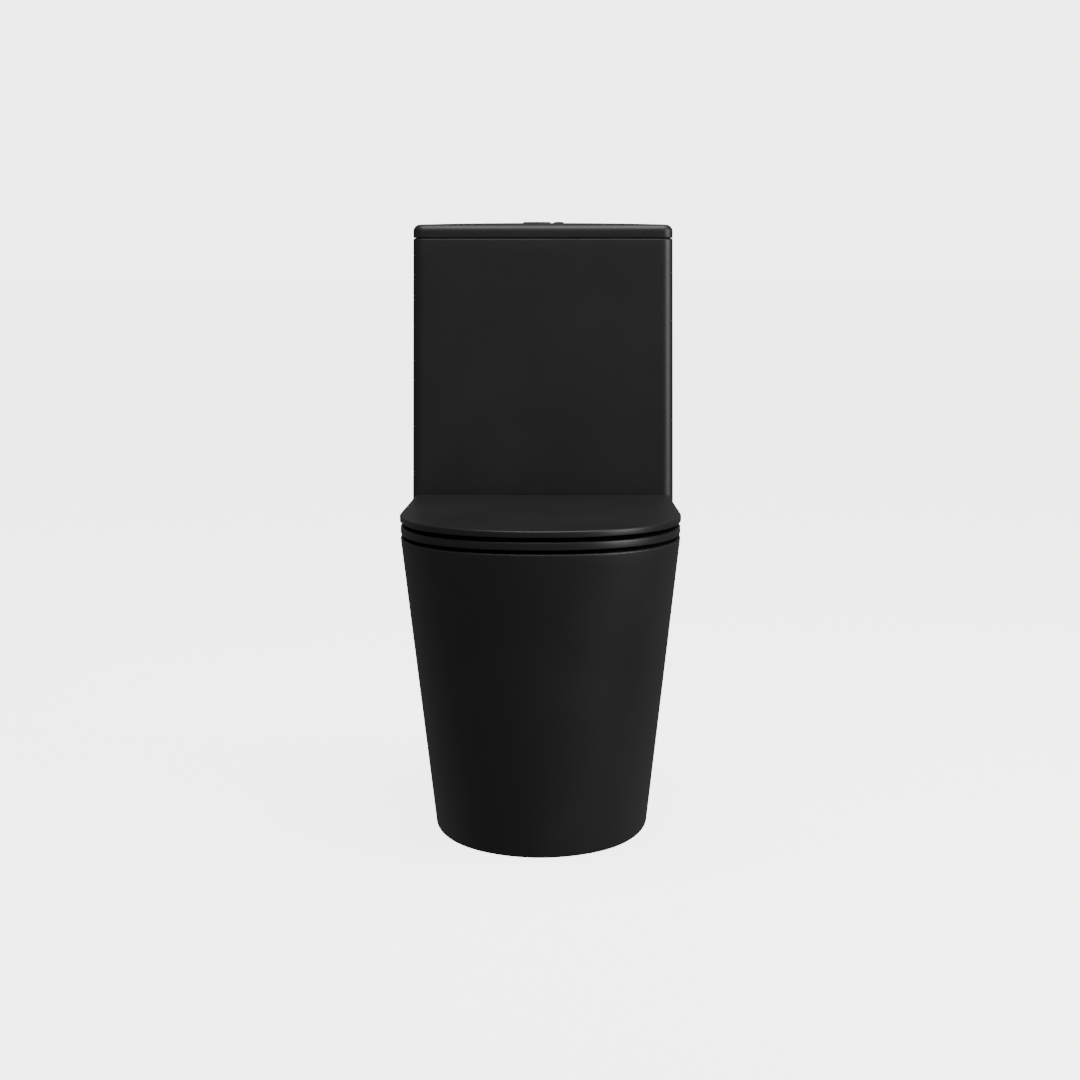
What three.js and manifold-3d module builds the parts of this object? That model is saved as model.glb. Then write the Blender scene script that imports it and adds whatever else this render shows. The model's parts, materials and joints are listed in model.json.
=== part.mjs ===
// A close coupled toilet: a back-to-wall pan, a cistern standing on it, a soft-close seat and
// lid, and the dual flush valve, fill valve, fixings and push buttons inside and between them.
// Millimetres, +Z up, +X to the right and -Y to the front. The origin is on the floor, midway
// between the left and right sides and between the wall and the front edge.
import * as THREE from 'three';
import { mergeVertices } from 'three/addons/utils/BufferGeometryUtils.js';
import Module from 'manifold-3d';

const wasm = await Module();
wasm.setup();

// ---------------------------------------------------------------- driving sizes
// Whole toilet
const DEPTH = 620;                 // wall to front edge of the lid
const WALL_Y = DEPTH / 2;          // plane of the wall behind
const FRONT_Y = -DEPTH / 2;        // front edge of the lid

// Clearances
const GAP = 0.3;                   // between two pieces that touch
const RUN = 0.3;                   // between a pin and its bore
const LOOSE = 3;                   // between a bolt and its hole

// Pan
const PAN_HEIGHT = 408;            // floor to rim
const PAN_WALL = 12;
const DECK_THICK = 14;
const RIM_HALF = 184.8;            // half width across the rim
const RIM_SET_BACK = 0.6;          // rim behind the lid's front edge
const FOOT_HALF = 146;             // half width at the floor
const FOOT_SET_BACK = 84.5;        // foot behind the lid's front edge
const RIM_SIDE_LENGTH = 200;       // from the front edge to the start of the straight sides
const FOOT_SIDE_LENGTH = 257;
const RIM_LAND = 36.5;             // flat rim in front of the bowl
const BOWL_HALF = 147;             // half width of the bowl's mouth
const BOWL_LENGTH = 333;
const SUMP_FLOOR = 62;             // height of the bottom of the bowl

// Soil outlet
const OUTLET_HEIGHT = 180;
const OUTLET_RADIUS = 51;
const OUTLET_BACK_SET = 20;        // end of the spigot before the wall
const TRAP_BORE = 38;
const TRAP_WALL = 8;
const WEIR_HEIGHT = 220;           // middle of the trap at its highest point
const TRAP_BEND = 57;              // radius of the trap's bends

// Cistern
const CISTERN_DEPTH = 168;
const CISTERN_BACK_SET = 2;        // back of the cistern before the wall
const CISTERN_LIFT = 3;            // cistern floor above the pan's deck
const CISTERN_BODY_HEIGHT = 384.6;
const CISTERN_FOOT_HALF = 185.2;   // half width at the bottom
const CISTERN_TOP_HALF = 182.4;    // half width at the top
const CISTERN_CORNER = 15;
const CISTERN_WALL = 10;
const CISTERN_FLOOR = 12;
const COVER_EDGE = 10.1;           // upright edge of the cistern lid
const COVER_FILLET = 9;
const COVER_CROWN = 2;             // rise of the top from its edge to its middle
const COVER_PLATE = 10;
const COVER_LIP_DEPTH = 10;        // locating lip that hangs into the cistern
const COVER_LIP = 6;

// Flush valve, its outlet and the doughnut washer
const VALVE_TAIL = 30;             // radius of the threaded tail
const VALVE_WALL = 5;
const VALVE_FLANGE_WIDTH = 15;     // flange beyond the tail
const BACKNUT_HEIGHT = 12;
const DOUGHNUT_WIDTH = 12;
const RECESS_DEPTH = 22;           // seat in the deck for the doughnut washer
const RECESS_LIP = 8;              // china round the seat, under the deck
const TOWER_CLEARANCE = 2;         // tower's bore outside the valve's tail
const TOWER_HEIGHT = 276;          // from the flange to the head plate
const OVERFLOW_RADIUS = 13;
const LEVER_FRONT = 20;            // pivot to the push rod
const LEVER_BACK = 18;             // pivot to the lifting end
const LEVER_WIDTH = 8;
const LEVER_THICK = 6;
const LEVER_PIN = 2;

// Coupling bolts between cistern and pan
const COUPLING_BOLT = 4;           // radius
const WING_NUT = 9;                // radius of its middle
const WING_NUT_CLEARANCE = 5.5;    // to the china round the doughnut's seat

// Fill valve
const FILL_X = -130;
const FILL_TAIL = 9.5;
const FILL_BORE = 5.5;
const FILL_MAST = 10;
const FILL_MAST_HEIGHT = 280;
const FLOAT_RADIUS = 24;
const FLOAT_HEIGHT = 55;
const FLOAT_ARM = 32;              // lever pivot to the float's rod

// Push buttons
const BUTTON_RADIUS = 28.8;
const BUTTON_THICK = 3.2;
const BUTTON_PROUD = 1.6;          // tops above the crown of the lid
const SPLIT_LEFT = 9.3;            // edge of the large button
const SPLIT_RIGHT = 15;            // edge of the small button
const CUP_WALL = 0.8;
const CUP_DEPTH = 10;
const BEZEL_TUBE = 24.6;           // radius of the threaded tube
const BEZEL_BORE = 23;
const BEZEL_TUBE_LENGTH = 22;
const FULL_ROD_X = -12;
const HALF_ROD_X = 18;
const ROD_RADIUS = 2.5;
const ROD_OFFSET_Y = -3;           // rods in front of the valve's middle

// Seat ring and lid
const SEAT_HALF = 185.5;           // lid's widest half width
const SEAT_BACK_HALF = 178.5;
const SEAT_SIDE_LENGTH = 200;
const SEAT_CORNER = 8;
const BUMPER_HEIGHT = 4.1;
const RING_THICK = 10.8;
const RING_INSET = 1;              // ring inside the lid's outline
const RING_MOUTH_HALF = 112;
const RING_MOUTH_LENGTH = 280;
const RING_FRONT_WIDTH = 77;
const LID_GAP = 5.3;               // ring to lid edge
const LID_EDGE = 8.8;
const LID_PLATE = 5;
const LID_RIM = 6;                 // width of the lid's turned-down edge

// Hinges
const HINGE_PITCH = 155;
const HINGE_TO_CISTERN = 33;       // hinge axis before the cistern's face
const HINGE_HEIGHT = 14.5;         // hinge axis above the rim
const HINGE_OVERHANG = 10;         // lid behind the hinge axis
const KNUCKLE = 7.5;
const HINGE_PIN = 3;
const DAMPER = 5.2;
const POST_WIDTH = 8;
const POST_DEPTH = 10.4;
const KNUCKLE_WIDTH = 21;
const HINGE_DISC = 20;
const HINGE_DISC_THICK = 2.7;
const HINGE_BOLT = 3.9;

// Floor brackets
const BRACKET_Y = 200;
const BRACKET_HEIGHT = 60;
const BRACKET_BASE = 38;
const BRACKET_WIDTH = 50;
const BRACKET_THICK = 5;
const SIDE_SCREW_HEIGHT = 35;
const SIDE_SCREW = 3;

// ---------------------------------------------------------------- derived places
const DECK_UNDER = PAN_HEIGHT - DECK_THICK;
const CISTERN_BACK = WALL_Y - CISTERN_BACK_SET;
const CISTERN_FACE = CISTERN_BACK - CISTERN_DEPTH;
const CISTERN_BASE = PAN_HEIGHT + CISTERN_LIFT;
const CISTERN_TOP = CISTERN_BASE + CISTERN_BODY_HEIGHT;
const CISTERN_INSIDE = CISTERN_BASE + CISTERN_FLOOR;
const VALVE_Y = (CISTERN_FACE + CISTERN_BACK) / 2;
const VALVE_BORE = VALVE_TAIL - VALVE_WALL;
const VALVE_FLANGE = VALVE_TAIL + VALVE_FLANGE_WIDTH;
const TOWER_RADIUS = VALVE_TAIL + TOWER_CLEARANCE;
const COVER_BASE = CISTERN_TOP + GAP;
const COVER_EDGE_TOP = COVER_BASE + COVER_EDGE + COVER_FILLET;
const COVER_TOP = COVER_EDGE_TOP + COVER_CROWN;
const BACKNUT_RADIUS = VALVE_TAIL + DOUGHNUT_WIDTH;
const DOUGHNUT_BORE = BACKNUT_RADIUS + 1.5;
const DOUGHNUT_RADIUS = DOUGHNUT_BORE + DOUGHNUT_WIDTH;
const RECESS_RADIUS = DOUGHNUT_RADIUS + 2;
const RECESS_FLOOR = PAN_HEIGHT - RECESS_DEPTH;
const COUPLING_X = RECESS_RADIUS + RECESS_LIP + WING_NUT + WING_NUT_CLEARANCE;
const FLANGE_BASE = CISTERN_INSIDE + GAP;
const BUTTON_TOP = COVER_TOP + BUTTON_PROUD;
const BUTTON_BASE = BUTTON_TOP - BUTTON_THICK;
const CUP_RADIUS = BUTTON_RADIUS + GAP + CUP_WALL;
const CUP_BASE = COVER_TOP - CUP_DEPTH;
const TUBE_END = CUP_BASE - BEZEL_TUBE_LENGTH;
const AXIS_Y = CISTERN_FACE - HINGE_TO_CISTERN;
const AXIS_Z = PAN_HEIGHT + HINGE_HEIGHT;
const SEAT_BACK_Y = AXIS_Y + HINGE_OVERHANG;
const RING_BASE = PAN_HEIGHT + BUMPER_HEIGHT + 2 * GAP;
const RING_TOP = RING_BASE + RING_THICK;
const LID_BASE = RING_TOP + LID_GAP;
const LID_TOP = LID_BASE + LID_EDGE;
const LID_UNDER = LID_TOP - LID_PLATE;
const HINGE_X = HINGE_PITCH / 2;

// ---------------------------------------------------------------- shape helpers
function solid(geometry) {
  const plain = geometry.index ? geometry.clone() : geometry;
  for (const name of Object.keys(plain.attributes)) {
    if (name !== 'position') plain.deleteAttribute(name);
  }
  const merged = mergeVertices(plain, 1e-4);
  return new wasm.Manifold(new wasm.Mesh({
    numProp: 3,
    vertProperties: new Float32Array(merged.attributes.position.array),
    triVerts: new Uint32Array(merged.index.array),
  }));
}

function join(...pieces) {
  return pieces.reduce((all, piece) => all.add(piece));
}

function cut(body, ...tools) {
  return tools.reduce((all, tool) => all.subtract(tool), body);
}

// Upright round bar from z0 to z1; a second radius makes it a cone.
function rod(radius, z0, z1, x = 0, y = 0, sides = 16, topRadius = radius) {
  const shape = new THREE.CylinderGeometry(topRadius, radius, z1 - z0, sides);
  shape.rotateX(Math.PI / 2);
  shape.translate(x, y, (z0 + z1) / 2);
  return solid(shape);
}

// Round bar along X from x0 to x1.
function barX(radius, x0, x1, y, z, sides = 16) {
  const shape = new THREE.CylinderGeometry(radius, radius, Math.abs(x1 - x0), sides);
  shape.rotateZ(Math.PI / 2);
  shape.translate((x0 + x1) / 2, y, z);
  return solid(shape);
}

// Round bar along Y from y0 to y1.
function barY(radius, y0, y1, x, z, sides = 24) {
  const shape = new THREE.CylinderGeometry(radius, radius, y1 - y0, sides);
  shape.translate(x, (y0 + y1) / 2, z);
  return solid(shape);
}

function tube(outer, inner, z0, z1, x = 0, y = 0, sides = 16) {
  return cut(rod(outer, z0, z1, x, y, sides), rod(inner, z0 - 1, z1 + 1, x, y, sides));
}

function block(x0, x1, y0, y1, z0, z1) {
  const shape = new THREE.BoxGeometry(Math.abs(x1 - x0), y1 - y0, z1 - z0);
  shape.translate((x0 + x1) / 2, (y0 + y1) / 2, (z0 + z1) / 2);
  return solid(shape);
}

// Skin over a stack of outlines with equal point counts, closed by a flat cap at each end.
function loft(levels) {
  const count = levels[0].points.length;
  const positions = levels.flatMap(({ points, z }) => points.flatMap((p) => [p.x, p.y, z]));
  const faces = [];
  for (let level = 0; level < levels.length - 1; level += 1) {
    for (let i = 0; i < count; i += 1) {
      const a = level * count + i;
      const b = level * count + ((i + 1) % count);
      faces.push(a, b, b + count, a, b + count, a + count);
    }
  }
  const last = (levels.length - 1) * count;
  for (const [a, b, c] of THREE.ShapeUtils.triangulateShape(levels[0].points, [])) {
    faces.push(a, c, b);
  }
  for (const [a, b, c] of THREE.ShapeUtils.triangulateShape(levels.at(-1).points, [])) {
    faces.push(last + a, last + b, last + c);
  }
  const shape = new THREE.BufferGeometry();
  shape.setAttribute('position', new THREE.Float32BufferAttribute(positions, 3));
  shape.setIndex(faces);
  return solid(shape);
}

function prism(points, z0, z1) {
  return loft([{ points, z: z0 }, { points, z: z1 }]);
}

// Outline with a rounded front and straight sides back to a flat rear edge. The front's quarter
// is one Bezier curve, and squareness and flare are how far its two handles reach.
function noseOutline({ half, tip, length, squareness, flare, back, backHalf = half, corner = 0 }) {
  const steps = 12;
  const shoulder = tip + length;
  const nose = new THREE.CubicBezierCurve(
    new THREE.Vector2(0, tip),
    new THREE.Vector2(squareness * half, tip),
    new THREE.Vector2(half, shoulder - flare * length),
    new THREE.Vector2(half, shoulder),
  ).getPoints(steps);
  const right = [...nose];
  if (corner > 0) {
    for (let i = 0; i <= 4; i += 1) {
      const angle = (i / 4) * (Math.PI / 2);
      right.push(new THREE.Vector2(
        backHalf - corner + corner * Math.cos(angle),
        back - corner + corner * Math.sin(angle),
      ));
    }
  } else {
    right.push(new THREE.Vector2(backHalf, back));
  }
  const left = right.slice(1).reverse().map((p) => new THREE.Vector2(-p.x, p.y));
  return [...right, ...left];
}

// Egg-shaped outline: two half ellipses that meet on its widest line.
function eggOutline(half, front, back, widest, sides = 28) {
  return Array.from({ length: sides }, (_, i) => {
    const angle = (i / sides) * 2 * Math.PI;
    const reach = Math.sin(angle) < 0 ? widest - front : back - widest;
    return new THREE.Vector2(half * Math.cos(angle), widest + reach * Math.sin(angle));
  });
}

function roundedOutline(half, front, back, radius, steps = 4) {
  const corners = [[half, back, 0], [-half, back, 1], [-half, front, 2], [half, front, 3]];
  return corners.flatMap(([x, y, turn]) => Array.from({ length: steps + 1 }, (_, i) => {
    const angle = (turn + i / steps) * (Math.PI / 2);
    return new THREE.Vector2(
      x - Math.sign(x) * radius + radius * Math.cos(angle),
      (y === back ? y - radius : y + radius) + radius * Math.sin(angle),
    );
  }));
}

// ---------------------------------------------------------------- scene helpers
const toilet = new THREE.Group();
toilet.name = 'close_coupled_toilet';

const FINISHES = {
  ceramic: { color: 0x1b1b1c, roughness: 0.42, metalness: 0 },
  duroplast: { color: 0x1d1d1e, roughness: 0.45, metalness: 0 },
  button: { color: 0x202122, roughness: 0.35, metalness: 0 },
  whitePlastic: { color: 0xe6e6e2, roughness: 0.5, metalness: 0 },
  greyPlastic: { color: 0x8d9194, roughness: 0.5, metalness: 0 },
  bluePlastic: { color: 0x2f6fb2, roughness: 0.45, metalness: 0 },
  redRubber: { color: 0xb0402e, roughness: 0.8, metalness: 0 },
  blackRubber: { color: 0x151515, roughness: 0.85, metalness: 0 },
  steel: { color: 0xc0c3c6, roughness: 0.3, metalness: 1 },
  blackSteel: { color: 0x1a1a1b, roughness: 0.35, metalness: 0.6 },
};

function add(name, body, finish) {
  const { vertProperties, triVerts } = body.getMesh();
  const geometry = new THREE.BufferGeometry();
  geometry.setAttribute('position', new THREE.BufferAttribute(new Float32Array(vertProperties), 3));
  geometry.setIndex(new THREE.BufferAttribute(new Uint32Array(triVerts), 1));
  geometry.computeVertexNormals();
  const mesh = new THREE.Mesh(geometry, new THREE.MeshStandardMaterial(FINISHES[finish]));
  mesh.name = name;
  toilet.add(mesh);
  return mesh;
}

const SIDES = [['left', -1], ['right', 1]];

// ---------------------------------------------------------------- pan
const rimNose = { squareness: 0.76, flare: 0.44 };
const footNose = { squareness: 0.25, flare: 0.88 };

function panHalfAt(z) {
  return FOOT_HALF + (RIM_HALF - FOOT_HALF) * (z / PAN_HEIGHT);
}

function panShell() {
  const rim = (inset, back) => noseOutline({
    half: RIM_HALF - inset, tip: FRONT_Y + RIM_SET_BACK + inset,
    length: RIM_SIDE_LENGTH, ...rimNose, back,
  });
  const foot = (inset, back) => noseOutline({
    half: FOOT_HALF - inset, tip: FRONT_Y + FOOT_SET_BACK + inset,
    length: FOOT_SIDE_LENGTH, ...footNose, back,
  });
  const outside = loft([{ points: foot(0, WALL_Y), z: 0 }, { points: rim(0, WALL_Y), z: PAN_HEIGHT }]);
  const open = WALL_Y + PAN_WALL;
  const inside = loft([
    { points: foot(PAN_WALL, open), z: -1 },
    { points: rim(PAN_WALL, open), z: DECK_UNDER },
  ]);
  return cut(outside, inside);
}

// Bowl as a stack of egg-shaped sections: height, then share of the mouth's half width, and how
// far the section's front and back edges have come in from the mouth's.
function bowl(thickness) {
  const front = FRONT_Y + RIM_SET_BACK + RIM_LAND;
  const back = front + BOWL_LENGTH;
  const depth = PAN_HEIGHT - SUMP_FLOOR;
  const sections = [
    [0, 0.17, 252, 42],
    [0.04, 0.25, 238, 36],
    [0.2, 0.3, 222, 30],
    [0.38, 0.4, 190, 26],
    [0.54, 0.62, 128, 18],
    [0.7, 0.82, 66, 10],
    [0.85, 0.945, 22, 4],
    [1, 1, 0, 0],
  ];
  return loft(sections.map(([share, width, fromFront, fromBack]) => {
    const near = front + fromFront - thickness;
    const far = back - fromBack + thickness;
    const top = thickness > 0 ? DECK_UNDER + DECK_THICK / 2 : PAN_HEIGHT + 1;
    return {
      z: Math.min(top, SUMP_FLOOR - thickness + share * (depth + thickness + 1)),
      points: eggOutline(BOWL_HALF * width + thickness, near, far, near + 0.56 * (far - near)),
    };
  }));
}

// Middle line of the trap: out of the sump, up over the weir and down to the level spigot.
function trapLine(end) {
  const entry = SUMP_FLOOR + TRAP_BORE;
  const sumpY = FRONT_Y + RIM_SET_BACK + RIM_LAND + BOWL_LENGTH - 60;
  const rise = sumpY + 45 + TRAP_BEND;
  const weirY = rise + TRAP_BEND;
  const corner = TRAP_BEND * Math.SQRT1_2;
  const fall = WEIR_HEIGHT - OUTLET_HEIGHT;
  const turn = Math.acos(1 - fall / (2 * TRAP_BEND));
  const level = weirY + 2 * TRAP_BEND * Math.sin(turn);
  const half = turn / 2;
  const points = [
    [sumpY, entry],
    [rise - TRAP_BEND, entry],
    [rise - TRAP_BEND + corner, entry + TRAP_BEND - corner],
    [rise, entry + TRAP_BEND],
    [weirY - corner, WEIR_HEIGHT - TRAP_BEND + corner],
    [weirY, WEIR_HEIGHT],
    [weirY + TRAP_BEND * Math.sin(turn), WEIR_HEIGHT - fall / 2],
    [level - TRAP_BEND * Math.sin(half), OUTLET_HEIGHT + TRAP_BEND * (1 - Math.cos(half))],
    [level, OUTLET_HEIGHT],
    [end, OUTLET_HEIGHT],
  ];
  const line = points.map(([y, z]) => new THREE.Vector3(0, y, z));
  return new THREE.CatmullRomCurve3(line, false, 'centripetal');
}

function pipe(line, radius, sides, steps) {
  const section = new THREE.Shape(
    Array.from({ length: sides }, (_, i) => new THREE.Vector2(
      radius * Math.cos((i / sides) * 2 * Math.PI),
      radius * Math.sin((i / sides) * 2 * Math.PI),
    )),
  );
  return solid(new THREE.ExtrudeGeometry(section, { extrudePath: line, steps, bevelEnabled: false }));
}

// Box-like way from the deck's hole forward into the back of the bowl.
function flushWay(radius, frontY, top, deep) {
  const middle = PAN_HEIGHT - deep;
  const corner = new THREE.SphereGeometry(radius, 14, 8);
  corner.rotateX(Math.PI / 2);
  corner.translate(0, VALVE_Y, middle);
  return join(
    rod(radius, middle, top, 0, VALVE_Y, 14),
    barY(radius, frontY, VALVE_Y, 0, middle, 14),
    solid(corner),
  );
}

function pan() {
  const bowlBack = FRONT_Y + RIM_SET_BACK + RIM_LAND + BOWL_LENGTH;
  const spigotEnd = WALL_Y - OUTLET_BACK_SET;
  const flushDepth = 60;
  const flushBore = VALVE_TAIL - 2;
  const holeRadius = VALVE_TAIL + 4;
  const body = join(
    panShell(),
    bowl(PAN_WALL),
    pipe(trapLine(spigotEnd), TRAP_BORE + TRAP_WALL, 12, 15),
    barY(OUTLET_RADIUS, spigotEnd - 50, spigotEnd, 0, OUTLET_HEIGHT),
    flushWay(flushBore + TRAP_WALL, bowlBack + PAN_WALL / 2, DECK_UNDER, flushDepth),
    rod(RECESS_RADIUS + RECESS_LIP, RECESS_FLOOR - DECK_THICK, PAN_HEIGHT - 1, 0, VALVE_Y, 32),
  );
  const holes = [
    rod(RECESS_RADIUS, RECESS_FLOOR, PAN_HEIGHT + 1, 0, VALVE_Y, 32),
    rod(holeRadius, RECESS_FLOOR - 8, PAN_HEIGHT + 1, 0, VALVE_Y, 24),
    rod(FILL_TAIL + 4 * LOOSE, DECK_UNDER - 1, PAN_HEIGHT + 1, FILL_X, VALVE_Y),
  ];
  for (const [, side] of SIDES) {
    const wallX = panHalfAt(SIDE_SCREW_HEIGHT);
    const [outer, inner] = [side * (wallX + 5), side * (wallX - PAN_WALL - 8)];
    holes.push(
      rod(COUPLING_BOLT + LOOSE, DECK_UNDER - 1, PAN_HEIGHT + 1, side * COUPLING_X, VALVE_Y, 16),
      rod(HINGE_BOLT + LOOSE + 1, DECK_UNDER - 1, PAN_HEIGHT + 1, side * HINGE_X, AXIS_Y, 16),
      barX(SIDE_SCREW + 1, inner, outer, BRACKET_Y, SIDE_SCREW_HEIGHT, 16),
      barX(SIDE_SCREW + 5.5, side * (wallX - 6), outer, BRACKET_Y, SIDE_SCREW_HEIGHT, 16),
    );
  }
  return cut(
    body,
    bowl(0),
    pipe(trapLine(spigotEnd + 5), TRAP_BORE, 12, 15),
    flushWay(flushBore, bowlBack - PAN_WALL, RECESS_FLOOR, flushDepth),
    ...holes,
  );
}

add('pan', pan(), 'ceramic');

// ---------------------------------------------------------------- cistern
function cisternBody() {
  const outline = (half, inset) => roundedOutline(
    half - inset, CISTERN_FACE + inset, CISTERN_BACK - inset, CISTERN_CORNER - Math.min(inset, 11),
  );
  const round = 5;
  const outside = loft([
    { points: outline(CISTERN_FOOT_HALF, round), z: CISTERN_BASE },
    { points: outline(CISTERN_FOOT_HALF, 0), z: CISTERN_BASE + round },
    { points: outline(CISTERN_TOP_HALF, 0), z: CISTERN_TOP },
  ]);
  const inside = loft([
    { points: outline(CISTERN_FOOT_HALF, CISTERN_WALL), z: CISTERN_INSIDE },
    { points: outline(CISTERN_TOP_HALF, CISTERN_WALL), z: CISTERN_TOP + 1 },
  ]);
  const [under, above] = [CISTERN_BASE - 1, CISTERN_INSIDE + 1];
  return cut(
    outside,
    inside,
    rod(VALVE_TAIL + 1, under, above, 0, VALVE_Y, 24),
    rod(FILL_TAIL + 1, under, above, FILL_X, VALVE_Y),
    ...SIDES.map(([, side]) => rod(
      COUPLING_BOLT + LOOSE, under, above, side * COUPLING_X, VALVE_Y, 16,
    )),
  );
}

function cisternLid() {
  const outline = (inset) => roundedOutline(
    CISTERN_TOP_HALF - inset, CISTERN_FACE + inset, CISTERN_BACK - inset,
    Math.max(CISTERN_CORNER - inset, 2),
  );
  const filletTop = (angle) => ({
    points: outline(COVER_FILLET * (1 - Math.cos(angle))),
    z: COVER_BASE + COVER_EDGE + COVER_FILLET * Math.sin(angle),
  });
  const outside = loft([
    { points: outline(0), z: COVER_BASE },
    ...[0, 1, 2, 3].map((step) => filletTop((step / 3) * (Math.PI / 2))),
    { points: outline(3 * COVER_FILLET), z: COVER_EDGE_TOP + 0.6 * COVER_CROWN },
    { points: outline(6 * COVER_FILLET), z: COVER_TOP },
  ]);
  const lipOut = CISTERN_WALL + LOOSE - 1;
  const lip = prism(outline(lipOut), COVER_BASE - COVER_LIP_DEPTH, COVER_BASE + 2);
  const plateUnder = COVER_EDGE_TOP - COVER_PLATE;
  const hollow = prism(outline(lipOut + COVER_LIP), COVER_BASE - COVER_LIP_DEPTH - 1, plateUnder);
  const boss = rod(CUP_RADIUS + 6, CUP_BASE - 7, plateUnder + 1, 0, VALVE_Y, 32);
  return cut(
    join(cut(join(outside, lip), hollow), boss),
    rod(CUP_RADIUS + 0.5, CUP_BASE - GAP, COVER_TOP + 1, 0, VALVE_Y, 32),
    rod(BEZEL_TUBE + 0.5, CUP_BASE - 8, COVER_TOP, 0, VALVE_Y, 32),
  );
}

add('cistern_body', cisternBody(), 'ceramic');
add('cistern_lid', cisternLid(), 'ceramic');

// ---------------------------------------------------------------- coupling
function doughnut() {
  return tube(DOUGHNUT_RADIUS, DOUGHNUT_BORE, RECESS_FLOOR + GAP, CISTERN_BASE - GAP, 0, VALVE_Y, 28);
}

add('coupling_doughnut', doughnut(), 'blackRubber');

for (const [label, side] of SIDES) {
  const x = side * COUPLING_X;
  const washerTop = CISTERN_INSIDE + 5;
  const boltEnd = DECK_UNDER - 26;
  const washer = cut(
    rod(13, CISTERN_INSIDE + GAP, washerTop, x, VALVE_Y, 20, 10),
    rod(COUPLING_BOLT + RUN, CISTERN_INSIDE - 1, washerTop + 1, x, VALVE_Y, 12),
  );
  const bolt = join(
    rod(COUPLING_BOLT, boltEnd, washerTop + 2, x, VALVE_Y, 12),
    rod(8, washerTop + GAP, washerTop + 6, x, VALVE_Y, 6),
  );
  const nutTop = DECK_UNDER - GAP;
  const nut = cut(
    join(
      rod(WING_NUT, nutTop - 10, nutTop, x, VALVE_Y, 16),
      block(x - 1.5, x + 1.5, VALVE_Y - 20, VALVE_Y + 20, nutTop - 14, nutTop - 3),
    ),
    rod(COUPLING_BOLT + RUN, nutTop - 16, nutTop + 1, x, VALVE_Y, 12),
  );
  add(`coupling_cone_washer_${label}`, washer, 'blackRubber');
  add(`coupling_bolt_${label}`, bolt, 'steel');
  add(`coupling_wing_nut_${label}`, nut, 'whitePlastic');
}

// ---------------------------------------------------------------- flush valve
const BASE_WASHER = 3;
const FLANGE_THICK = 4;
const FLANGE_TOP = FLANGE_BASE + BASE_WASHER + GAP + FLANGE_THICK;
const SEAT_LIP_TOP = FLANGE_TOP + 7;
const TOWER_BASE = FLANGE_TOP + GAP;
const SEAL_THICK = 2.7;
const SEAL_BASE = SEAT_LIP_TOP + GAP;
const HEAD_Z = TOWER_BASE + TOWER_HEIGHT;
const PIVOT_Z = HEAD_Z + 18;
const ROD_Y = VALVE_Y + ROD_OFFSET_Y;
const PIVOT_Y = ROD_Y + LEVER_FRONT;
const LIFT_Y = PIVOT_Y + LEVER_BACK;
const ROD_END = PIVOT_Z + LEVER_THICK / 2 + 1.2;

function flushValveBase() {
  return cut(
    join(
      rod(VALVE_TAIL, RECESS_FLOOR - 6, SEAT_LIP_TOP, 0, VALVE_Y, 24),
      rod(VALVE_FLANGE, FLANGE_TOP - FLANGE_THICK, FLANGE_TOP, 0, VALVE_Y, 24),
    ),
    rod(VALVE_BORE, RECESS_FLOOR - 10, SEAT_LIP_TOP + 1, 0, VALVE_Y, 24),
  );
}

function flushTower() {
  const wall = 3;
  const windows = [0, 1].map((turn) => {
    const reach = TOWER_RADIUS + 2;
    const [a, b] = turn ? [reach, 16] : [16, reach];
    return block(-a, a, VALVE_Y - b, VALVE_Y + b, TOWER_BASE + 25, HEAD_Z - 20);
  });
  const bracket = ([x0, x1]) => block(x0, x1, PIVOT_Y - 5, PIVOT_Y + 5, HEAD_Z + 1, PIVOT_Z + 5);
  const cheeks = [FULL_ROD_X, HALF_ROD_X].flatMap((x) => {
    const inner = LEVER_WIDTH / 2 + 0.5;
    return [[x - inner - 2.5, x - inner], [x + inner, x + inner + 2.5]];
  });
  const front = VALVE_Y - TOWER_RADIUS;
  const footLift = 12;
  return cut(
    join(
      cut(
        rod(TOWER_RADIUS + wall, TOWER_BASE, HEAD_Z, 0, VALVE_Y, 28),
        rod(TOWER_RADIUS, TOWER_BASE - 1, HEAD_Z - 4, 0, VALVE_Y, 28),
        ...windows,
      ),
      block(-18, 32, VALVE_Y - 8, PIVOT_Y + 7, HEAD_Z - 4, HEAD_Z + 2),
      ...cheeks.map(bracket),
    ),
    rod(STEM + 1, HEAD_Z - 6, PIVOT_Z + 10, 0, VALVE_Y, 16),
    ...[FULL_ROD_X, HALF_ROD_X].map((x) => barX(LEVER_PIN + RUN, x - 9, x + 9, PIVOT_Y, PIVOT_Z, 12)),
    block(-12, 12, front - 9, front + 9, TOWER_BASE - 1, TOWER_BASE + footLift),
  );
}

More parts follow.
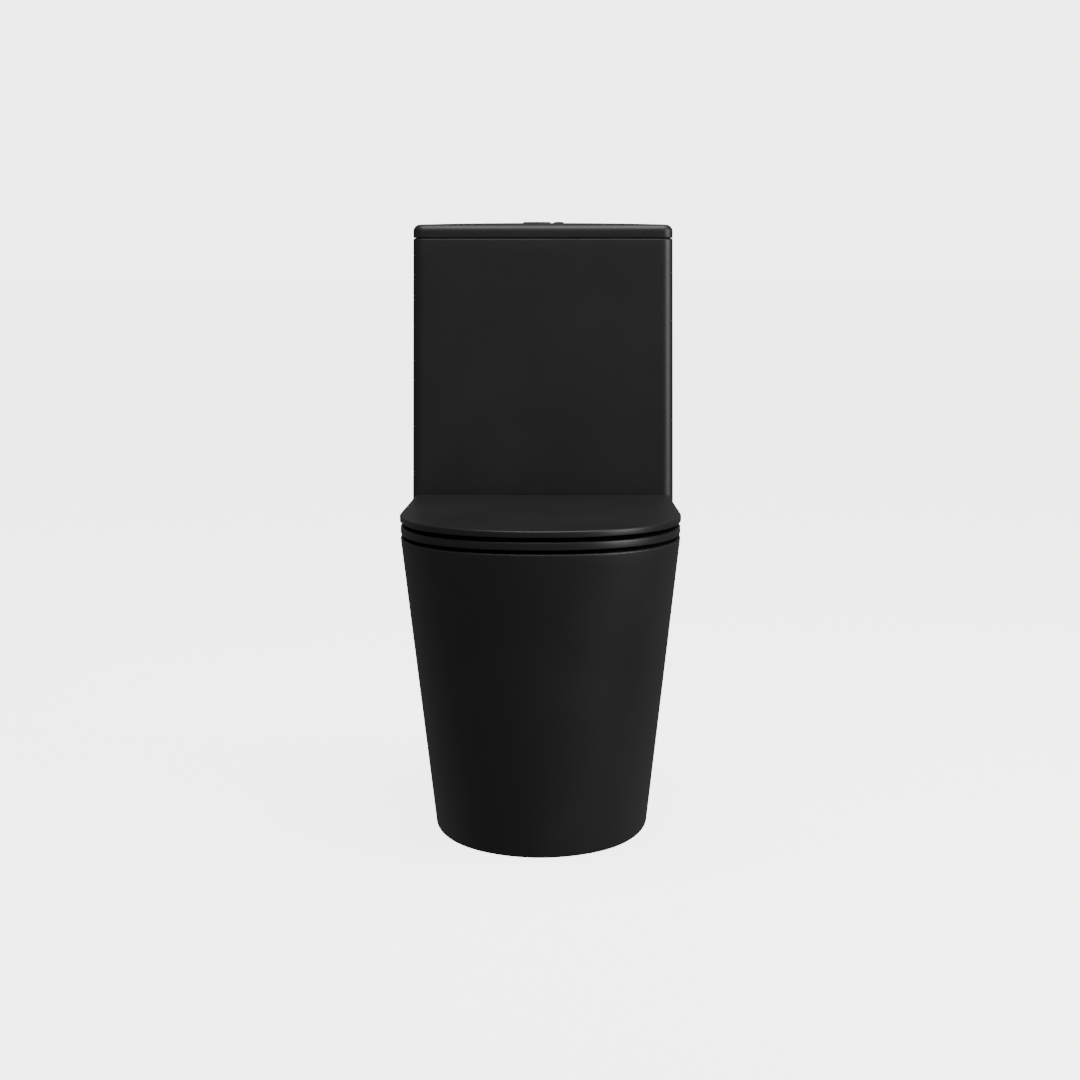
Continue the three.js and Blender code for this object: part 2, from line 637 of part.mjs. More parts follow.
// The overflow pipe, its lifting stem and the crosshead over the long lever's back end.
const STEM = 3.5;
function flushPlunger() {
  const pipeBase = SEAL_BASE + SEAL_THICK + GAP;
  const pipeTop = HEAD_Z - 30;
  const crossBase = PIVOT_Z + LEVER_THICK / 2 + 0.6;
  const left = FULL_ROD_X - 4;
  const web = OVERFLOW_RADIUS - 1;
  return join(
    tube(OVERFLOW_RADIUS, OVERFLOW_RADIUS - 2, pipeBase, pipeTop, 0, VALVE_Y, 20),
    cut(
      rod(VALVE_TAIL - 3, pipeBase, pipeBase + 3, 0, VALVE_Y, 24),
      rod(OVERFLOW_RADIUS - 2, pipeBase - 1, pipeBase + 4, 0, VALVE_Y, 20),
    ),
    block(-STEM, STEM, VALVE_Y - web, VALVE_Y + web, pipeTop - 4, pipeTop - 1),
    rod(STEM, pipeTop - 3, crossBase + 4, 0, VALVE_Y, 12),
    block(-STEM, STEM, VALVE_Y, LIFT_Y + 4, crossBase, crossBase + 4),
    block(left, STEM, LIFT_Y - 4, LIFT_Y + 4, crossBase, crossBase + 4),
  );
}

function flushSeal() {
  return tube(VALVE_TAIL - 2, OVERFLOW_RADIUS - 2, SEAL_BASE, SEAL_BASE + SEAL_THICK, 0, VALVE_Y, 24);
}

function flushLever(x) {
  const [z0, z1] = [PIVOT_Z - LEVER_THICK / 2, PIVOT_Z + LEVER_THICK / 2];
  return cut(
    block(x - LEVER_WIDTH / 2, x + LEVER_WIDTH / 2, ROD_Y - 4, LIFT_Y + 3, z0, z1),
    barX(LEVER_PIN + RUN, x - LEVER_WIDTH, x + LEVER_WIDTH, PIVOT_Y, PIVOT_Z, 12),
  );
}

add('flush_valve_base', flushValveBase(), 'whitePlastic');
const washerTop = FLANGE_BASE + BASE_WASHER;
add('flush_valve_base_washer',
  tube(VALVE_FLANGE - 2, VALVE_TAIL + RUN, FLANGE_BASE, washerTop, 0, VALVE_Y, 24), 'blackRubber');
const backnutTop = CISTERN_BASE - GAP;
add('flush_valve_backnut',
  tube(BACKNUT_RADIUS, VALVE_TAIL + RUN, backnutTop - BACKNUT_HEIGHT, backnutTop, 0, VALVE_Y, 24),
  'whitePlastic');
add('flush_valve_tower', flushTower(), 'whitePlastic');
add('flush_valve_plunger', flushPlunger(), 'greyPlastic');
add('flush_valve_seal', flushSeal(), 'redRubber');
const LEVERS = [['full', FULL_ROD_X, 'greyPlastic'], ['half', HALF_ROD_X, 'bluePlastic']];
for (const [label, x, finish] of LEVERS) {
  const reach = LEVER_WIDTH / 2 + 2.5;
  add(`${label}_flush_lever`, flushLever(x), finish);
  add(`${label}_lever_pin`, barX(LEVER_PIN, x - reach, x + reach, PIVOT_Y, PIVOT_Z, 12), 'steel');
}

// ---------------------------------------------------------------- fill valve
const FILL_TOP = CISTERN_INSIDE + FILL_MAST_HEIGHT;
const FILL_PIVOT_X = FILL_X + 12;
const FILL_PIVOT_Z = FILL_TOP + 19;
const FLOAT_ROD_X = FILL_PIVOT_X - FLOAT_ARM;
const FLOAT_TOP = CISTERN_INSIDE + 190;

function fillValveBody() {
  const flange = CISTERN_INSIDE + 3 + 2 * GAP;
  const cheek = (y) => block(FILL_PIVOT_X - 5, FILL_PIVOT_X + 3, VALVE_Y + y - 1.5, VALVE_Y + y + 1.5,
    FILL_TOP - 1, FILL_PIVOT_Z + 4);
  return cut(
    join(
      rod(FILL_TAIL, DECK_UNDER - 34, flange + 1, FILL_X, VALVE_Y),
      rod(FILL_TAIL + 7, flange, flange + 5, FILL_X, VALVE_Y),
      rod(FILL_MAST, flange + 4, FILL_TOP - 24, FILL_X, VALVE_Y),
      rod(FILL_MAST + 7, FILL_TOP - 25, FILL_TOP, FILL_X, VALVE_Y, 24),
      cheek(-6),
      cheek(6),
    ),
    rod(FILL_BORE, DECK_UNDER - 36, DECK_UNDER + 6, FILL_X, VALVE_Y, 16),
    barY(2 + RUN, VALVE_Y - 9, VALVE_Y + 9, FILL_PIVOT_X, FILL_PIVOT_Z, 12),
  );
}

function fillFloat() {
  const base = FLOAT_TOP - FLOAT_HEIGHT;
  const rodTop = FILL_PIVOT_Z - 2.5 - 1.5;
  return join(
    cut(
      rod(FLOAT_RADIUS, base, FLOAT_TOP, FILL_X, VALVE_Y, 24),
      rod(FILL_MAST + 0.6, base - 1, FLOAT_TOP + 1, FILL_X, VALVE_Y, 20),
    ),
    rod(1.8, FLOAT_TOP - 5, rodTop, FLOAT_ROD_X, VALVE_Y, 10),
  );
}

function fillLever() {
  return cut(
    block(FLOAT_ROD_X - 4, FILL_PIVOT_X + 4, VALVE_Y - 4, VALVE_Y + 4,
      FILL_PIVOT_Z - 2.5, FILL_PIVOT_Z + 3),
    barY(2 + RUN, VALVE_Y - 6, VALVE_Y + 6, FILL_PIVOT_X, FILL_PIVOT_Z, 12),
  );
}

add('fill_valve_body', fillValveBody(), 'whitePlastic');
add('fill_valve_washer',
  tube(FILL_TAIL + 6, FILL_TAIL + RUN, CISTERN_INSIDE + GAP, CISTERN_INSIDE + 3, FILL_X, VALVE_Y),
  'blackRubber');
add('fill_valve_backnut', cut(
  rod(FILL_TAIL + 8, CISTERN_BASE - 12, CISTERN_BASE - GAP, FILL_X, VALVE_Y, 6),
  rod(FILL_TAIL + RUN, CISTERN_BASE - 14, CISTERN_BASE + 1, FILL_X, VALVE_Y),
), 'whitePlastic');
add('fill_float', fillFloat(), 'bluePlastic');
add('fill_lever', fillLever(), 'greyPlastic');
add('fill_lever_pin', barY(2, VALVE_Y - 7.5, VALVE_Y + 7.5, FILL_PIVOT_X, FILL_PIVOT_Z, 12), 'steel');

// ---------------------------------------------------------------- push buttons
const SPRING_BASE = TUBE_END + 1.5 + GAP;
const COLLAR_BASE = BUTTON_BASE - 12.6;
const COLLAR_THICK = 2;

function bezel() {
  const floorTop = CUP_BASE + 1.5;
  const web = solid(new THREE.BoxGeometry(SPLIT_RIGHT - SPLIT_LEFT - 2 * GAP, 2 * CUP_RADIUS, 7.5)
    .translate((SPLIT_LEFT + SPLIT_RIGHT) / 2, VALVE_Y, CUP_BASE + 4.5));
  const rodHole = (x) => rod(ROD_RADIUS + 0.5, TUBE_END - 1, TUBE_END + 3, x, ROD_Y, 12);
  const clear = rod(BUTTON_RADIUS + GAP, floorTop, COVER_TOP + 1, 0, VALVE_Y, 32);
  return join(
    cut(
      join(
        rod(CUP_RADIUS, CUP_BASE, COVER_TOP, 0, VALVE_Y, 32),
        rod(BEZEL_TUBE, TUBE_END, CUP_BASE + 1, 0, VALVE_Y, 28),
      ),
      clear,
      rod(BEZEL_BORE, TUBE_END + 1.5, COVER_TOP, 0, VALVE_Y, 28),
      rodHole(FULL_ROD_X),
      rodHole(HALF_ROD_X),
    ),
    web.intersect(rod(CUP_RADIUS - CUP_WALL / 2, CUP_BASE, COVER_TOP, 0, VALVE_Y, 32)),
  );
}

function button(x0, x1, rodX) {
  const cap = rod(BUTTON_RADIUS, BUTTON_BASE, BUTTON_TOP, 0, VALVE_Y, 32)
    .intersect(block(x0, x1, VALVE_Y - 40, VALVE_Y + 40, BUTTON_BASE - 1, BUTTON_TOP + 1));
  const stem = rod(3, COLLAR_BASE, BUTTON_BASE + 1, rodX, ROD_Y, 14);
  const collar = rod(4.2, COLLAR_BASE, COLLAR_BASE + COLLAR_THICK, rodX, ROD_Y, 16);
  return join(cap, stem, collar);
}

// Round-wire spring with flat-lying end turns, around a push rod.
class Coil extends THREE.Curve {
  constructor(radius, height, turns) {
    super();
    Object.assign(this, { radius, height, turns });
  }

  getPoint(t, target = new THREE.Vector3()) {
    const angle = t * this.turns * 2 * Math.PI;
    return target.set(this.radius * Math.cos(angle), this.radius * Math.sin(angle), t * this.height);
  }
}

function spring(x) {
  const wire = 0.45;
  const top = COLLAR_BASE - GAP;
  const turns = 3;
  const line = new Coil(ROD_RADIUS + 1.2, top - SPRING_BASE - 2 * wire, turns);
  return pipe(line, wire, 5, turns * 8).translate([x, ROD_Y, SPRING_BASE + wire]);
}

add('flush_button_bezel', bezel(), 'button');
add('flush_button_nut',
  tube(BEZEL_TUBE + 9, BEZEL_TUBE + RUN, CUP_BASE - 15, CUP_BASE - 7 - GAP, 0, VALVE_Y, 24),
  'whitePlastic');
for (const [label, x0, x1, x, finish] of [
  ['full', -40, SPLIT_LEFT, FULL_ROD_X, 'greyPlastic'],
  ['half', SPLIT_RIGHT, 40, HALF_ROD_X, 'bluePlastic'],
]) {
  add(`${label}_flush_button`, button(x0, x1, x), 'button');
  add(`${label}_flush_rod`, rod(ROD_RADIUS, ROD_END, COLLAR_BASE - GAP, x, ROD_Y, 12), finish);
  add(`${label}_button_spring`, spring(x), 'steel');
}

// ---------------------------------------------------------------- seat ring and lid
function seatOutline(inset) {
  return noseOutline({
    half: SEAT_HALF - inset, tip: FRONT_Y + inset, length: SEAT_SIDE_LENGTH, squareness: 0.76,
    flare: 0.44, back: SEAT_BACK_Y - inset, backHalf: SEAT_BACK_HALF - inset, corner: SEAT_CORNER,
  });
}

const POST_X = HINGE_X;
const RING_KNUCKLE_X = POST_X - POST_WIDTH / 2 - 1;
const LID_KNUCKLE_X = POST_X + POST_WIDTH / 2 + 1;

function seatRing() {
  const mouthFront = FRONT_Y + RING_FRONT_WIDTH;
  const mouthBack = mouthFront + RING_MOUTH_LENGTH;
  const widest = mouthFront + 0.55 * RING_MOUTH_LENGTH;
  const mouth = eggOutline(RING_MOUTH_HALF, mouthFront, mouthBack, widest);
  const rear = AXIS_Y - KNUCKLE - 5;
  let ring = cut(
    prism(seatOutline(RING_INSET), RING_BASE, RING_TOP),
    prism(mouth, RING_BASE - 1, RING_TOP + 1),
    block(-SEAT_HALF, SEAT_HALF, rear, SEAT_BACK_Y + 1, RING_BASE - 1, RING_TOP + 1),
  );
  for (const [, side] of SIDES) {
    const [outer, inner] = [side * RING_KNUCKLE_X, side * (RING_KNUCKLE_X - KNUCKLE_WIDTH)];
    ring = cut(
      join(
        ring,
        barX(KNUCKLE, inner, outer, AXIS_Y, AXIS_Z),
        block(inner, outer, rear - 4, AXIS_Y - 1, AXIS_Z - 5, RING_TOP),
      ),
      barX(DAMPER + RUN, inner - side, outer - side * 2, AXIS_Y, AXIS_Z),
      barX(HINGE_PIN + RUN, inner, outer + side, AXIS_Y, AXIS_Z, 16),
    );
  }
  return ring;
}

function seatLid() {
  let lid = cut(
    prism(seatOutline(0), LID_BASE, LID_TOP),
    prism(seatOutline(LID_RIM), LID_BASE - 1, LID_UNDER),
  );
  for (const [, side] of SIDES) {
    const [inner, outer] = [side * LID_KNUCKLE_X, side * (LID_KNUCKLE_X + KNUCKLE_WIDTH)];
    lid = cut(
      join(
        lid,
        barX(KNUCKLE, inner, outer, AXIS_Y, AXIS_Z),
        block(inner, outer, AXIS_Y - 6.5, AXIS_Y + 6.5, AXIS_Z, LID_UNDER + 1),
      ),
      barX(DAMPER + RUN, inner + side * 2, outer + side, AXIS_Y, AXIS_Z),
      barX(HINGE_PIN + RUN, inner - side, outer, AXIS_Y, AXIS_Z, 16),
    );
  }
  return lid;
}

function damper(x0, x1) {
  const past = Math.sign(x1 - x0);
  return cut(
    barX(DAMPER, x0, x1, AXIS_Y, AXIS_Z),
    barX(HINGE_PIN + RUN, x0 - past, x1 + past, AXIS_Y, AXIS_Z, 16),
  );
}

add('seat_ring', seatRing(), 'duroplast');
add('seat_lid', seatLid(), 'duroplast');

const RING_BUMPERS = [['front', 164, FRONT_Y + 210], ['back', 150, AXIS_Y - 40]];
for (const [label, side] of SIDES) {
  for (const [end, x, y] of RING_BUMPERS) {
    add(`ring_bumper_${end}_${label}`,
      rod(9, PAN_HEIGHT + GAP, RING_BASE - GAP, side * x, y, 16, 7.5), 'blackRubber');
  }
  add(`lid_bumper_${label}`,
    rod(7, RING_TOP + GAP, LID_UNDER - GAP, side * 100, FRONT_Y + 70, 16, 8), 'blackRubber');
}

// ---------------------------------------------------------------- hinges
for (const [label, side] of SIDES) {
  const x = side * HINGE_X;
  const discBase = PAN_HEIGHT + GAP;
  const discTop = discBase + HINGE_DISC_THICK;
  const boltTop = discTop + 3;
  const half = POST_WIDTH / 2;
  const base = cut(
    join(
      rod(HINGE_DISC, discBase, discTop, x, AXIS_Y, 28),
      barX(KNUCKLE, x - half, x + half, AXIS_Y, AXIS_Z),
      block(x - half, x + half, AXIS_Y - POST_DEPTH / 2, AXIS_Y + POST_DEPTH / 2,
        discTop - 1, AXIS_Z),
    ),
    barX(HINGE_PIN + RUN, x - half - 1, x + half + 1, AXIS_Y, AXIS_Z, 16),
    rod(HINGE_BOLT - 0.9, discBase - 1, boltTop, x, AXIS_Y, 12),
  );
  const boltEnd = DECK_UNDER - 34;
  const bolt = join(
    rod(HINGE_BOLT - 1.2, discBase - 1, boltTop - GAP, x, AXIS_Y, 12),
    rod(HINGE_BOLT, boltEnd, discBase - GAP, x, AXIS_Y, 12),
    rod(10, boltEnd, boltEnd + 4, x, AXIS_Y, 12),
  );
  const expander = cut(
    join(
      rod(HINGE_BOLT + LOOSE + 0.5, DECK_UNDER - 4, PAN_HEIGHT - GAP, x, AXIS_Y, 16),
      rod(9, boltEnd + 4 + GAP, DECK_UNDER - GAP, x, AXIS_Y, 16, 12),
    ),
    rod(HINGE_BOLT + RUN, boltEnd, PAN_HEIGHT, x, AXIS_Y, 12),
  );
  const pinInner = side * (RING_KNUCKLE_X - KNUCKLE_WIDTH + 0.5);
  const pinOuter = side * (LID_KNUCKLE_X + KNUCKLE_WIDTH - 0.5);
  add(`hinge_base_${label}`, base, 'blackSteel');
  add(`hinge_bolt_${label}`, bolt, 'steel');
  add(`hinge_expander_${label}`, expander, 'blackRubber');
  add(`hinge_pin_${label}`, barX(HINGE_PIN, pinInner, pinOuter, AXIS_Y, AXIS_Z, 16), 'steel');
  add(`ring_damper_${label}`,
    damper(side * (RING_KNUCKLE_X - KNUCKLE_WIDTH), side * (RING_KNUCKLE_X - 2 - GAP)), 'greyPlastic');
  add(`lid_damper_${label}`,
    damper(side * (LID_KNUCKLE_X + 2 + GAP), side * (LID_KNUCKLE_X + KNUCKLE_WIDTH)), 'greyPlastic');
}

// ---------------------------------------------------------------- floor fixings
for (const [label, side] of SIDES) {
  const wallX = panHalfAt(SIDE_SCREW_HEIGHT);
  const outer = panHalfAt(0) - PAN_WALL - 2;
  const bracket = cut(
    join(
      block(side * (outer - BRACKET_BASE), side * outer, BRACKET_Y - BRACKET_WIDTH / 2,
        BRACKET_Y + BRACKET_WIDTH / 2, 0, BRACKET_THICK),
      block(side * (outer - BRACKET_THICK), side * outer, BRACKET_Y - BRACKET_WIDTH / 2,
        BRACKET_Y + BRACKET_WIDTH / 2, BRACKET_THICK - 1, BRACKET_HEIGHT),
    ),
    rod(4, -1, BRACKET_THICK + 1, side * (outer - BRACKET_BASE + 12), BRACKET_Y, 16),
    barX(SIDE_SCREW + RUN, side * (outer - 8), side * (outer + 2), BRACKET_Y, SIDE_SCREW_HEIGHT, 16),
  );
  const seatX = wallX - 6 + GAP;
  const screw = join(
    barX(SIDE_SCREW, side * (outer - 14), side * seatX, BRACKET_Y, SIDE_SCREW_HEIGHT, 16),
    barX(SIDE_SCREW + 4, side * seatX, side * (seatX + 2.5), BRACKET_Y, SIDE_SCREW_HEIGHT, 16),
  );
  add(`floor_bracket_${label}`, bracket, 'whitePlastic');
  add(`side_screw_${label}`, screw, 'steel');
  add(`side_screw_cap_${label}`,
    barX(SIDE_SCREW + 5, side * (seatX + 2.5 + GAP), side * (seatX + 6.5),
      BRACKET_Y, SIDE_SCREW_HEIGHT, 16),
    'ceramic');
}

export default toilet;
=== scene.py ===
import json
from math import cos, pi, radians, sin

import bmesh
import bpy
import numpy as np
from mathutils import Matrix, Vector


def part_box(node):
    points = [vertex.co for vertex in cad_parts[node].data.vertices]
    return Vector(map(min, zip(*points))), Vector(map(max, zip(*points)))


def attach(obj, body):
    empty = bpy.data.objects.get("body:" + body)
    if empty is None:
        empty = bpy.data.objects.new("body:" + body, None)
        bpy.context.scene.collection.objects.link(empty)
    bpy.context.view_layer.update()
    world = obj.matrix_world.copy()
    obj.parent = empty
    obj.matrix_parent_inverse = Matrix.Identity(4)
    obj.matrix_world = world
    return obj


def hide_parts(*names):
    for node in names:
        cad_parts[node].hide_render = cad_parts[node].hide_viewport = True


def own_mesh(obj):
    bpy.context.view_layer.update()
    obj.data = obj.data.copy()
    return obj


# Close coupled toilet: a back-to-wall pan and its cistern in satin black ceramic, with a slim
# soft-close seat. Sizes are in millimetres, and a mesh is scaled to metres when it is made.
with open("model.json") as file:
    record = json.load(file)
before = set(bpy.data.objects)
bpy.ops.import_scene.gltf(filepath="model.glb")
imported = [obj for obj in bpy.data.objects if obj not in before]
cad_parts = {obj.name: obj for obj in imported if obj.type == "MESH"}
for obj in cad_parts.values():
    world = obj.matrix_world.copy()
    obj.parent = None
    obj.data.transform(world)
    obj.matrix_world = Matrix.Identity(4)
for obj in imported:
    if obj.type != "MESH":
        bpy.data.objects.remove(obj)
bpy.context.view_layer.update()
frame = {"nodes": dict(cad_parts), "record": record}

# ------------------------------------------------------------------ camera
# A long lens a little above the cistern's top, looking down at the front.
camera = bpy.data.objects.new("camera", bpy.data.cameras.new("camera"))
CAMERA_DROP, CAMERA_TURN = 7.189, 0.752
camera.data.lens = 85.1
camera.data.sensor_width = 36
camera.location = (0.0433, -3.4596, 0.824)
camera.rotation_euler = (radians(90 - CAMERA_DROP), 0, radians(CAMERA_TURN))
bpy.context.scene.collection.objects.link(camera)
bpy.context.scene.camera = camera

# ------------------------------------------------------------------ pan
# One slip-cast piece of vitreous china: a tapered skirt that stands on the floor and against the
# wall, a flat rim round the bowl, and a deck behind it that carries the cistern. Its glaze is a
# satin black, fired on, with the faint orange peel and pinholes that such a glaze has.


def box_of(node):
    """Lowest and highest corner of a CAD node, in millimetres."""
    return [np.array(corner) * 1000 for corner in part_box(node)]


def finish(name, colour, spread, sheen_low, sheen_high, peel, grain, metal=0.0):
    """Material of one colour. A slow noise lifts the colour by the spread and varies the roughness
    between two values, a medium one gives the surface its orange peel, and a fine one its grain."""
    material = bpy.data.materials.new(name)
    material.use_nodes = True
    nodes, links = material.node_tree.nodes, material.node_tree.links
    shader = nodes["Principled BSDF"]
    place = nodes.new("ShaderNodeTexCoord").outputs["Object"]
    slow_scale, slow_share, fine_share = 7, 0.6, 0.4
    peel_depth, peel_strength, grain_depth, grain_strength = 0.0002, 0.12, 0.00005, 0.1

    def noise(scale, detail):
        """Noise between 0 and 1 at a scale, with its number of octaves."""
        node = nodes.new("ShaderNodeTexNoise")
        node.inputs["Scale"].default_value = scale
        node.inputs["Detail"].default_value = detail
        links.new(place, node.inputs["Vector"])
        return node.outputs["Fac"]

    def bump(height, strength, distance):
        """Bump node of a height, with its strength and its depth in metres."""
        node = nodes.new("ShaderNodeBump")
        node.inputs["Strength"].default_value = strength
        node.inputs["Distance"].default_value = distance
        links.new(height, node.inputs["Height"])
        return node

    slow, medium, fine = noise(slow_scale, 3), noise(peel, 2), noise(grain, 3)
    tone = nodes.new("ShaderNodeValToRGB")
    lifted = [part * spread for part in colour]
    for stop, position, shade in zip(tone.color_ramp.elements, (0.3, 0.75), (colour, lifted)):
        stop.position, stop.color = position, (*shade, 1)
    links.new(slow, tone.inputs["Fac"])
    links.new(tone.outputs["Color"], shader.inputs["Base Color"])
    share = nodes.new("ShaderNodeMath")
    share.operation = "MULTIPLY"
    share.inputs[1].default_value = fine_share
    links.new(fine, share.inputs[0])
    mixed = nodes.new("ShaderNodeMath")
    mixed.operation = "MULTIPLY_ADD"
    mixed.inputs[1].default_value = slow_share
    links.new(slow, mixed.inputs[0])
    links.new(share.outputs[0], mixed.inputs[2])
    rough = nodes.new("ShaderNodeMapRange")
    for socket, value in (("From Min", 0.3), ("From Max", 0.7),
                          ("To Min", sheen_low), ("To Max", sheen_high)):
        rough.inputs[socket].default_value = value
    links.new(mixed.outputs[0], rough.inputs["Value"])
    links.new(rough.outputs["Result"], shader.inputs["Roughness"])
    skin = bump(medium, peel_strength, peel_depth)
    texture = bump(fine, grain_strength, grain_depth)
    links.new(skin.outputs["Normal"], texture.inputs["Normal"])
    links.new(texture.outputs["Normal"], shader.inputs["Normal"])
    shader.inputs["Metallic"].default_value = metal
    return material


glaze = finish("black_glaze", (0.0112, 0.011, 0.0106), 1.35, 0.4, 0.5, 260, 2600)


def grid_piece(name, rows, material, sharp=40):
    """Object of a grid of points: rows is m by n by 3, each row closes on itself, and quads join
    each row to the next. Rows that shrink to a point or a line close the ends."""
    m, n = rows.shape[:2]
    low = np.arange((m - 1) * n).reshape(m - 1, n)
    after = np.roll(low, -1, 1)
    faces = np.stack([low, after, after + n, low + n], -1).reshape(-1, 4)
    mesh = bpy.data.meshes.new(name)
    mesh.from_pydata((rows.reshape(-1, 3) * 0.001), [], faces.tolist())
    return smooth_piece(name, mesh, material, sharp)


def smooth_piece(name, mesh, material, sharp=40):
    """Object from a mesh, with its doubles merged, its faces turned outwards and its edges kept
    sharp where two faces meet at more than the given angle."""
    work = bmesh.new()
    work.from_mesh(mesh)
    bmesh.ops.remove_doubles(work, verts=work.verts, dist=1e-6)
    bmesh.ops.dissolve_degenerate(work, edges=work.edges, dist=1e-7)
    bmesh.ops.recalc_face_normals(work, faces=work.faces)
    work.to_mesh(mesh)
    work.free()
    mesh.polygons.foreach_set("use_smooth", np.ones(len(mesh.polygons), bool))
    mesh.set_sharp_from_angle(angle=radians(sharp))
    mesh.materials.clear()
    mesh.materials.append(material)
    piece = bpy.data.objects.new(name, mesh)
    bpy.context.scene.collection.objects.link(piece)
    return piece


def blend_rows(first, last, shares):
    """Rows that run from one row of points to another, one for each share of the way."""
    shares = np.asarray(shares)[:, None, None]
    return first[None] * (1 - shares) + last[None] * shares


def lift(outline, z):
    """A row of 3-D points from a plan outline and its height or heights."""
    return np.column_stack([outline, np.broadcast_to(z, len(outline))])


def inset(outline, distance):
    """Plan outline moved inwards along the normals of a closed anticlockwise curve."""
    along = np.roll(outline, -1, 0) - np.roll(outline, 1, 0)
    along /= np.maximum(np.linalg.norm(along, axis=1, keepdims=True), 1e-9)
    return outline + distance * np.column_stack([-along[:, 1], along[:, 0]])


def nose_quarter(half, tip, length, squareness, flare, count):
    """Right half of a rounded front: one cubic Bezier curve from the tip to the straight side."""
    t = np.linspace(0, 1, count)[:, None]
    a, b = np.array([0, tip]), np.array([squareness * half, tip])
    c, d = np.array([half, tip + (1 - flare) * length]), np.array([half, tip + length])
    return (1 - t) ** 3 * a + 3 * (1 - t) ** 2 * t * b + 3 * (1 - t) * t ** 2 * c + t ** 3 * d


def line(start, end, count):
    """Points after start, up to and including end."""
    return np.linspace(start, end, count + 1)[1:]


def mirrored(right):
    """Closed outline from its right half, which runs from the front centre to the back centre."""
    left = right[1:-1][::-1] * [-1, 1]
    return np.concatenate([right, left])


PAN_LOW, PAN_HIGH = box_of("pan")
PAN_TOP, WALL_Y, RIM_TIP = PAN_HIGH[2], PAN_HIGH[1], PAN_LOW[1]
RIM_HALF, FOOT_HALF, FOOT_TIP = PAN_HIGH[0], 146, RIM_TIP + 83.9
CHINA, FOOT_BEVEL = 12, 1
DECK_UNDER = PAN_TOP - 14
RIM_ROUND, MOUTH_ROUND = 2.6, 7
MOUTH_HALF, MOUTH_FRONT = 147, RIM_TIP + 36.5
MOUTH_BACK, WIDEST_SHARE = MOUTH_FRONT + 333, 0.56
SUMP_FLOOR, SUMP_DISH = 62, 3
# Length of the rounded front, how square its tip is, and how full its sides are.
RIM_NOSE, FOOT_NOSE = (200, 0.76, 0.44), (257, 0.25, 0.88)


def skirt_outline(half, tip, nose, back):
    """Skirt's plan: a Bezier nose, then straight lines along the side and the back."""
    quarter = nose_quarter(half, tip, *nose, 72)
    return mirrored(np.concatenate([
        quarter, line(quarter[-1], (half, back), 36), line((half, back), (0, back), 26)]))


def at_height(foot, rim, z):
    """Plan of the skirt at a height: every point runs straight from the foot to the rim."""
    share = np.broadcast_to(z, len(foot))[:, None] / PAN_TOP
    return np.column_stack([foot + (rim - foot) * share, np.broadcast_to(z, len(foot))])


def smooth(x, xs, ys):
    """Cubic Hermite curve through points, with slopes from the neighbours on each side."""
    xs, ys = np.asarray(xs, float), np.asarray(ys, float)
    slope = np.gradient(ys, xs)
    i = int(np.clip(np.searchsorted(xs, x) - 1, 0, len(xs) - 2))
    h = xs[i + 1] - xs[i]
    t = (x - xs[i]) / h
    return ((1 + 2 * t) * (1 - t) ** 2 * ys[i] + t * (1 - t) ** 2 * h * slope[i]
            + t * t * (3 - 2 * t) * ys[i + 1] + t * t * (t - 1) * h * slope[i + 1])


def bowl_section(share, grow):
    """Egg-shaped plan of the bowl at a share of its depth, seen at the same bearings as the rim's
    points. Its width and its two ends follow smooth curves from the sump to the mouth."""
    shares = np.array([0, 0.04, 0.2, 0.38, 0.54, 0.7, 0.85, 1])
    width = smooth(share, shares, [0.17, 0.25, 0.3, 0.4, 0.62, 0.82, 0.945, 1]) * MOUTH_HALF + grow
    front = MOUTH_FRONT + smooth(share, shares, [252, 238, 222, 190, 128, 66, 22, 0]) - grow
    back = MOUTH_BACK - smooth(share, shares, [42, 36, 30, 26, 18, 10, 4, 0]) + grow
    widest = front + WIDEST_SHARE * (back - front)
    reach = np.where(np.sin(BEARING) < 0, widest - front, back - widest)
    turn = np.arctan2(np.sin(BEARING) / reach, np.cos(BEARING) / width)
    return np.column_stack([width * np.cos(turn), widest + reach * np.sin(turn)])


rim = skirt_outline(RIM_HALF, RIM_TIP, RIM_NOSE, WALL_Y)
foot = skirt_outline(FOOT_HALF, FOOT_TIP, FOOT_NOSE, WALL_Y)
rim_inner = skirt_outline(RIM_HALF - CHINA, RIM_TIP + CHINA, RIM_NOSE, WALL_Y - CHINA)
foot_inner = skirt_outline(FOOT_HALF - CHINA, FOOT_TIP + CHINA, FOOT_NOSE, WALL_Y - CHINA)
BOWL_MIDDLE = -85
BEARING = np.arctan2(rim[:, 1] - BOWL_MIDDLE, rim[:, 0])


